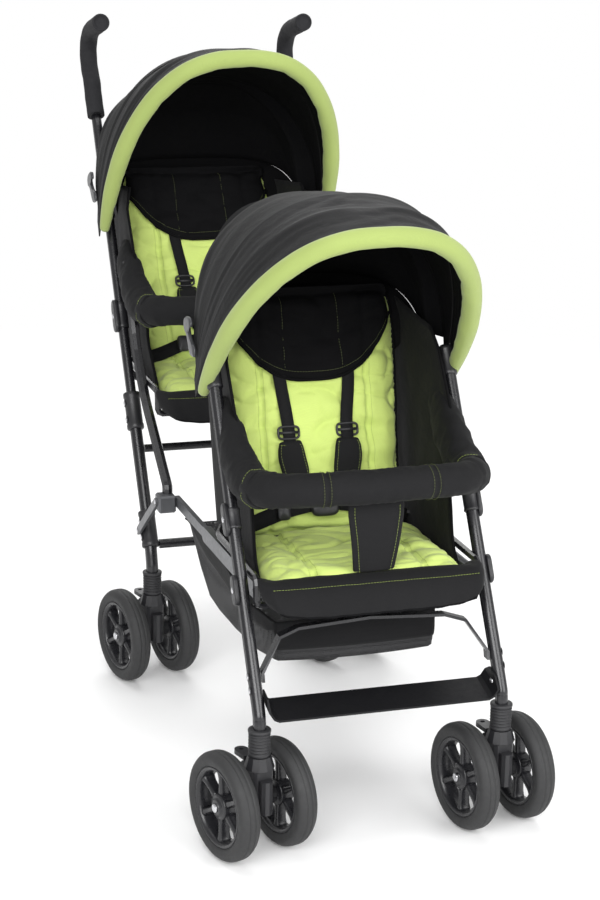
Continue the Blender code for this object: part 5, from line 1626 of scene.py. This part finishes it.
class BUGGY_OT_basket(bpy.types.Operator):
    """The net basket with its dark top band"""
    bl_idname = "buggy.basket"
    bl_label = "Basket"

    def execute(self, context):
        knots = [(0.1180, 0.2960, 0.1230), (0.1120, 0.2620, 0.1210), (0.1200, 0.2360, 0.1210),
                 (0.1800, 0.2280, 0.1280), (0.2700, 0.2290, 0.1380), (0.3600, 0.2270, 0.1400),
                 (0.4200, 0.2300, 0.1400), (0.4700, 0.2620, 0.1420), (0.5380, 0.3180, 0.1440)]
        rim = [(0.1180, 0.2960), (0.1240, 0.2990), (0.1450, 0.3080), (0.1900, 0.3180),
               (0.2700, 0.3300), (0.3600, 0.3440), (0.4200, 0.3440), (0.4800, 0.3380),
               (0.5380, 0.3260)]
        rail_face = 0.1595 - 0.0060 - 0.0006 - 0.0012

        def place(u, v):
            (y, z, half), _ = point_along(knots, v)
            (rim_y, rim_z), _ = point_along(rim, v)
            rim_half = min(rail_face, 0.1250 + max(0.0, rim_y - 0.1200) * 0.55)
            spread = 2.0 * u - 1.0
            side = -1.0 if spread < 0.0 else 1.0
            reach = abs(spread)
            if reach <= 0.52:
                sag = -0.0060 * (1.0 - (reach / 0.52) ** 2) * math.sin(math.pi * v)
                return Vector((side * half * reach / 0.52, y, z + max(sag, -0.0050)))
            mix = (reach - 0.52) / 0.48
            bow = 0.0040 * math.sin(math.pi * mix)
            across = half + (rim_half - half) * mix - bow
            return Vector((side * across, y + (rim_y - y) * mix, z + (rim_z - z) * mix))

        bands = []
        for first in (0.0, 1.0):
            side = -1.0 if first < 0.5 else 1.0

            def strip(u, v, side=side, first=first):
                point = place(first - side * (0.10 * u), v)
                out = Vector((side, 0.0, 0.25)).normalized()
                return point + out * 0.0006

            bands.append(strip)
        for name, strip in zip(SIDES, bands):
            band = thickened(to_object(f"basket_band_{name}", grid(6, 64, strip)), 0.0030, 0.0)
            as_piece(band, "rails", "black_fabric")

        def front(u, v):
            point = place(u, v * 0.16)
            return point + Vector((0.0, -0.0006, 0.0002))

        face = thickened(to_object("basket_front", grid(60, 8, front)), 0.0034, 0.0)
        as_piece(face, "rails", "black_fabric")
        sling = thickened(to_object("basket_net", grid(60, 64, place)), 0.0014, 0.0)
        as_piece(sling, "rails", "basket_net", ["basket"])
        cut_from(60, 64, place)
        return {"FINISHED"}


# Frame tubes, grips and fittings

FRONT_TUBE = 0.0095
REAR_SHAFT = 0.0087
FRONT_STEM_Y = -0.0120
REAR_STEM_Y = 0.6750
FRONT_COVERS = (0.4510, 0.3630)
# How far out the flat faces of the hood hinges and of the links stand
HINGE_FACE = 0.1913
LINK_FACE = 0.1962


class BUGGY_OT_frame(bpy.types.Operator):
    """Grooved tubes, grips, knuckles, ribbed boots and rivets"""
    bl_idname = "buggy.frame"
    bl_label = "Frame"

    def execute(self, context):
        for name, side in SIDES.items():
            self.grip(name, side)
            self.front_leg(name, side)
            self.rear_leg(name, side)
            self.boot(f"front_boot_{name}", side, FRONT_LEG_X, FRONT_STEM_Y, "front_frame")
            self.boot(f"rear_boot_{name}", side, REAR_LEG_X, REAR_STEM_Y, "rear_frame")
        self.rivets()
        return {"FINISHED"}

    def knuckle(self, first, second, radius, low, high, side):
        """A flat moulding with round ends and soft edges, on the side of a tube."""
        first, second = Vector((0.0, *first)), Vector((0.0, *second))
        along = second - first
        along = along.normalized() if along.length > 1e-6 else UP
        across = along.cross(ACROSS)
        outline = []
        for centre, turn in ((second, 0.0), (first, math.pi)):
            for i in range(13):
                a = turn + math.pi * i / 12
                outline.append(centre + (across * math.cos(a) + along * math.sin(a)) * radius)
        middle = (first + second) / 2.0
        rings = []
        for inset, depth in ((0.94, low), (1.0, low + 0.0008), (1.0, high - 0.0016),
                             (0.95, high - 0.0004), (0.84, high), (0.10, high)):
            rings.append(drawn_in(outline, middle, inset, ACROSS * (side * depth)))
        return lofted(rings)

    def collar(self, low, high, radius, flare=0.0010, sides=32):
        """A moulded sleeve on a tube, with a lip at both ends."""
        along = high - low
        span = along.length
        way = along.normalized()
        first = (ACROSS - way * way.x).normalized()
        second = way.cross(first)
        rings = []
        for share, size_here in ((0.0, radius - 0.0030), (0.0, radius - 0.0004),
                                 (0.03, radius + flare), (0.12, radius + flare),
                                 (0.16, radius), (0.84, radius), (0.88, radius + flare),
                                 (0.97, radius + flare), (1.0, radius - 0.0004),
                                 (1.0, radius - 0.0030)):
            rings.append(oval(low + way * (span * share), first, second, size_here, size_here,
                              sides))
        return lofted(rings)

    def front_leg(self, name, side):
        x = side * FRONT_LEG_X
        knots = [(x, FRONT_STEM_Y, 0.1722), (x, FRONT_STEM_Y, 0.1900), (x, -0.0104, 0.2030)]
        knots += [(x, front_leg_y(z), z) for z in (0.2190, 0.3000, 0.4500, 0.6580)]
        path = smooth_path(knots, 8)
        outer = FRONT_LEG_X + FRONT_TUBE
        piece(f"front_tube_{name}", lofted(swept(path, lambda s: ring(FRONT_TUBE, 40, 0.0016))),
              "front_frame", "frame_paint", [f"front_leg_{name}"])
        shapes = []
        for z, reach in zip(FRONT_COVERS, (0.0120, 0.0100)):
            y = front_leg_y(z)
            shapes.append(self.knuckle((y - reach * 0.606, z - reach),
                                       (y + reach * 0.606, z + reach), 0.0100,
                                       outer - 0.0020, outer + 0.0050, side))
        shapes.append(self.knuckle((front_leg_y(0.6400), 0.6400), HOOD_PIVOT, 0.0110,
                                   outer - 0.0040, HINGE_FACE, side))
        for low, high in ((0.4380, 0.4640), (0.6180, 0.6560)):
            shapes.append(self.collar(Vector((x, front_leg_y(low), low)),
                                      Vector((x, front_leg_y(high), high)), 0.0112, 0.0006))
        shapes.append(self.collar(Vector((side * 0.1655, front_leg_y(0.3610), 0.3610)),
                                  Vector((side * 0.1730, front_leg_y(0.3610), 0.3610)),
                                  0.0075, 0.0))
        piece(f"front_knuckles_{name}", joined(shapes), "front_frame", "black_plastic")

    def rear_leg(self, name, side):
        foot = side * REAR_LEG_X
        knots = [(foot, REAR_STEM_Y, 0.1722), (foot, REAR_STEM_Y, 0.1920), (foot, 0.6768, 0.2060)]
        knots += [rear_leg_point(side, z) for z in (0.2450, 0.3200, 0.4410)]
        tubes = [lofted(swept(smooth_path(knots, 8), lambda s: ring(0.0105, 40, 0.0018)))]
        shaft = even_path([rear_leg_point(side, 0.4210), rear_leg_point(side, 0.9420)], 12)
        tubes.append(lofted(swept(shaft, lambda s: ring(REAR_SHAFT, 40, 0.0012))))
        piece(f"rear_tube_{name}", joined(tubes), "rear_frame", "frame_paint",
              [f"rear_leg_{name}"])
        shapes = [self.collar(rear_leg_point(side, low), rear_leg_point(side, high), 0.0138)
                  for low, high in ((0.2320, 0.2870), (0.4130, 0.4700))]
        y, z = rear_leg_point(side, 0.5920).yz
        x = abs(rear_leg_point(side, 0.5920).x) + REAR_SHAFT
        shapes.append(self.knuckle((y - 0.0150 * 0.564, z - 0.0150),
                                   (y + 0.0150 * 0.564, z + 0.0150), 0.0120, x - 0.0030,
                                   x + 0.0060, side))
        shapes.append(self.collar(rear_leg_point(side, 0.5720), rear_leg_point(side, 0.6120),
                                  0.0108, 0.0006))
        pivot = Vector((0.0, *HOOD_PIVOT)) + ROWS["rear"]["canopy"]
        at_leg = rear_leg_point(side, pivot.z)
        shapes.append(self.knuckle((at_leg.y, pivot.z), (pivot.y, pivot.z), 0.0110,
                                   abs(at_leg.x) + 0.0047, 0.1993, side))
        shapes.append(self.collar(rear_leg_point(side, pivot.z - 0.0180),
                                  rear_leg_point(side, pivot.z + 0.0180), 0.0106, 0.0006))
        piece(f"rear_knuckles_{name}", joined(shapes), "rear_frame", "black_plastic")

    def grip(self, name, side):
        x = side * (REAR_LEG_X + 0.0122 * (0.9120 - 0.1968))
        low = rear_leg_point(side, 0.9180)
        knots = [(x, low.y, low.z), (x, low.y + 0.022, 0.9500), (x, 1.1030, 0.9740),
                 (x, 1.1260, 1.0000), (x, 1.1340, 1.0270), (x, 1.1240, 1.0500),
                 (x, 1.1000, 1.0660), (x, 1.0600, 1.0755), (x, 1.0190, 1.0845)]
        path = even_path(smooth_path(knots, 8), 90)
        radius = 0.0153

        def section(share):
            swell = 0.0004 * math.sin(share * 60.0)
            return ring(radius + swell * 0.4, 32)

        rings = swept(path, section)
        start, end = path[0], path[-1]
        first = [drawn_in(rings[0], start, s) for s in (0.62, 0.92)]
        ahead = (path[-1] - path[-2]).normalized()
        last = [drawn_in(rings[-1], end, s, ahead * d)
                for s, d in ((1.01, 0.0002), (1.0, 0.0012), (0.95, 0.0020), (0.80, 0.0022),
                             (0.78, 0.0012), (0.30, 0.0012))]
        piece(f"grip_{name}", lofted([*first, *rings, *last]), "rear_frame", "grip_foam",
              [f"handle_grip_{name}"])

    def boot(self, node_name, side, x, y, body):
        rings = []
        low, high, ribs, sides = 0.1520, 0.1910, 7, 40
        pitch = (high - low - 0.0060) / ribs
        levels = [(0.0125, low), (0.0152, low), (0.0157, low + 0.0012)]
        for i in range(ribs):
            start = low + 0.0020 + pitch * i
            levels += [(0.0157, start + pitch * 0.20), (0.0158, start + pitch * 0.36),
                       (0.0150, start + pitch * 0.50), (0.0138, start + pitch * 0.66),
                       (0.0137, start + pitch * 0.82), (0.0148, start + pitch * 0.95)]
        levels += [(0.0160, high - 0.0044), (0.0164, high - 0.0030), (0.0164, high - 0.0008),
                   (0.0158, high), (0.0108, high)]
        for radius, z in levels:
            rings.append(oval(Vector((side * x, y, z)), ACROSS, REARWARD, radius, radius, sides))
        piece(f"{node_name}_ribs", lofted(rings), body, "boot_rubber",
              [node_name])

    def rivets(self):
        front, rear = [], []
        for side in SIDES.values():
            out = Vector((side, 0.0, 0.0))
            plate = FRONT_LEG_X + FRONT_TUBE + 0.0050
            for z in FRONT_COVERS:
                front.append((Vector((side * plate, front_leg_y(z), z)), out))
            for z in (0.2400, 0.2570):
                front.append((Vector((side * (FRONT_LEG_X + 0.0093), front_leg_y(z), z)), out))
            front.append((Vector((side * HINGE_FACE, 0.2830, 0.6400)), out))
            for z in (0.2480, 0.2710, 0.4290, 0.4540):
                spot = rear_leg_point(side, z)
                rear.append((spot + out * 0.0143, out))
            spot = rear_leg_point(side, 0.5920)
            rear.append((spot + out * (REAR_SHAFT + 0.0060), out))
            rear.append((Vector((side * LINK_FACE, 0.5630, 0.3500)), out))
            foot = rear_leg_point(side, 0.2580)
            rear.append((Vector((side * LINK_FACE, foot.y, foot.z)), out))
        for name, spots, body in (("front_rivets", front, "front_frame"),
                                  ("rear_rivets", rear, "rear_frame")):
            riveted(name, spots, body, 0.0046, 0.0018)
            washers = [(place - way * 0.0004, way) for place, way in spots]
            riveted(name.replace("rivets", "rivet_washers"), washers, body, 0.0068, 0.0010,
                    "black_plastic")
        bolts = [(Vector((side * 0.1717, front_leg_y(0.2220), 0.2220)), Vector((-side, 0, 0)))
                 for side in SIDES.values()]
        riveted("footrest_bolts", [(p + w * 0.0032, w) for p, w in bolts], "footrest", 0.0052,
                0.0024)


# Wheels

class BUGGY_OT_wheels(bpy.types.Operator):
    """Tyres, spoked rims and hub caps"""
    bl_idname = "buggy.wheels"
    bl_label = "Wheels"

    def execute(self, context):
        for caster in CASTERS:
            for place in ("inner", "outer"):
                self.wheel(caster, place)
        return {"FINISHED"}

    def turned(self, profile, sides=72):
        """The profile of radius and width turned round the X axis, closed."""
        rings = [oval(Vector((wide, 0, 0)), UP, REARWARD, radius, radius, sides)
                 for radius, wide in profile]
        return lofted(rings, caps=False, loop=True)

    def wheel(self, caster, place):
        body = f"{caster}_{place}_wheel"
        low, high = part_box(f"{caster}_{place}_tyre")
        centre = (low + high) / 2.0
        ends = [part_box(f"{caster}_{spot}_tyre") for spot in ("inner", "outer")]
        middles = [(a + b) / 2.0 for a, b in ends]
        along = (middles[1] - middles[0]).normalized()
        turn = math.atan2(along.y, along.x)
        if abs(turn) > math.pi / 2.0:
            turn -= math.copysign(math.pi, turn)
        centre -= Vector((0.0, AXLE_LINE, 0.0))
        stand = Matrix.Translation(centre) @ Matrix.Rotation(turn, 4, "Z")
        outside = 1.0 if (place == "outer") == ("right" in caster) else -1.0

        tread = size("tyre_radius")
        side_wall = [(0.0585, 0.0128), (0.0610, 0.0146), (0.0640, 0.0156), (0.0680, 0.0163),
                     (0.0712, 0.0158), (0.0740, 0.0142), (0.0760, 0.0118), (0.0775, 0.0094),
                     (0.0786, 0.0066), (0.0789, 0.0052), (0.0781, 0.0046), (0.0781, 0.0040),
                     (0.0790, 0.0034), (tread, 0.0)]
        profile = side_wall + [(r, -w) for r, w in reversed(side_wall[:-1])]
        tyre = to_object(f"{body}_tyre", self.turned(profile))
        tyre.data.transform(stand)
        as_piece(tyre, body, "tyre_rubber", [f"{caster}_{place}_tyre"])

        ring_profile = [(0.0582, 0.0126), (0.0578, 0.0134), (0.0555, 0.0134),
                        (0.0530, 0.0118), (0.0512, 0.0080), (0.0508, 0.0), (0.0512, -0.0080),
                        (0.0530, -0.0118), (0.0555, -0.0134), (0.0578, -0.0134),
                        (0.0582, -0.0126)]
        hub_profile = [(0.0044, 0.0136), (0.0100, 0.0136), (0.0118, 0.0130), (0.0124, 0.0116),
                       (0.0150, 0.0106), (0.0182, 0.0100), (0.0190, 0.0086), (0.0190, -0.0086),
                       (0.0182, -0.0100), (0.0150, -0.0106), (0.0124, -0.0116),
                       (0.0118, -0.0130), (0.0100, -0.0136), (0.0044, -0.0136)]
        spoke_rings = []
        for radius, wide, thick in ((0.0175, 0.0062, 0.0088), (0.0230, 0.0050, 0.0084),
                                    (0.0330, 0.0043, 0.0082), (0.0430, 0.0044, 0.0086),
                                    (0.0490, 0.0056, 0.0096), (0.0530, 0.0085, 0.0102)):
            spoke_rings.append(oval(UP * radius, REARWARD, ACROSS, wide, thick, 16, 0.6))
        spokes = grown(to_object(f"{body}_rim", lofted(spoke_rings)), "wheel_spokes",
                       Count=size("spokes"), Material=MATERIALS["rim_plastic"])
        whole = joined([self.turned(ring_profile), self.turned(hub_profile, 48)])
        whole.from_mesh(spokes.data)
        whole.to_mesh(spokes.data)
        whole.free()
        spokes.data.transform(stand)
        as_piece(spokes, body, "rim_plastic", [f"{caster}_{place}_rim"])
        spin = Matrix.Rotation(turn, 3, "Z")
        caps = [(centre + spin @ Vector((outside * 0.0160, 0, 0)), spin @ Vector((outside, 0, 0)))]
        riveted(f"{body}_cap", caps, f"{caster}_caster", 0.0066, 0.0022)


class BUGGY_PT_panel(bpy.types.Panel):
    """Sizes, colours and the pieces in the order in which they are made"""
    bl_label = "Tandem Buggy"
    bl_idname = "BUGGY_PT_panel"
    bl_space_type = "VIEW_3D"
    bl_region_type = "UI"
    bl_category = "Buggy"

    def draw(self, context):
        for group in (context.scene.buggy_sizes, context.scene.buggy_colours):
            box = self.layout.box()
            for key in group.__annotations__:
                box.prop(group, key)
        for step in STEPS:
            self.layout.operator(step.bl_idname)


STEPS = (BUGGY_OT_stage, BUGGY_OT_finishes, BUGGY_OT_seats, BUGGY_OT_backrests,
         BUGGY_OT_bumpers, BUGGY_OT_hoods, BUGGY_OT_basket, BUGGY_OT_frame, BUGGY_OT_wheels)
CLASSES = (BuggyColours, BuggySizes, *STEPS, BUGGY_PT_panel)


def register():
    for item in CLASSES:
        bpy.utils.register_class(item)
    bpy.types.Scene.buggy_colours = PointerProperty(type=BuggyColours)
    bpy.types.Scene.buggy_sizes = PointerProperty(type=BuggySizes)


def unregister():
    del bpy.types.Scene.buggy_sizes
    del bpy.types.Scene.buggy_colours
    for item in reversed(CLASSES):
        bpy.utils.unregister_class(item)


def main():
    register()
    bpy.ops.buggy.stage()
    bpy.ops.buggy.finishes()
    bpy.ops.buggy.seats()
    bpy.ops.buggy.backrests()
    bpy.ops.buggy.bumpers()
    bpy.ops.buggy.hoods()
    bpy.ops.buggy.basket()
    bpy.ops.buggy.frame()
    bpy.ops.buggy.wheels()


if __name__ == "__main__":
    main()
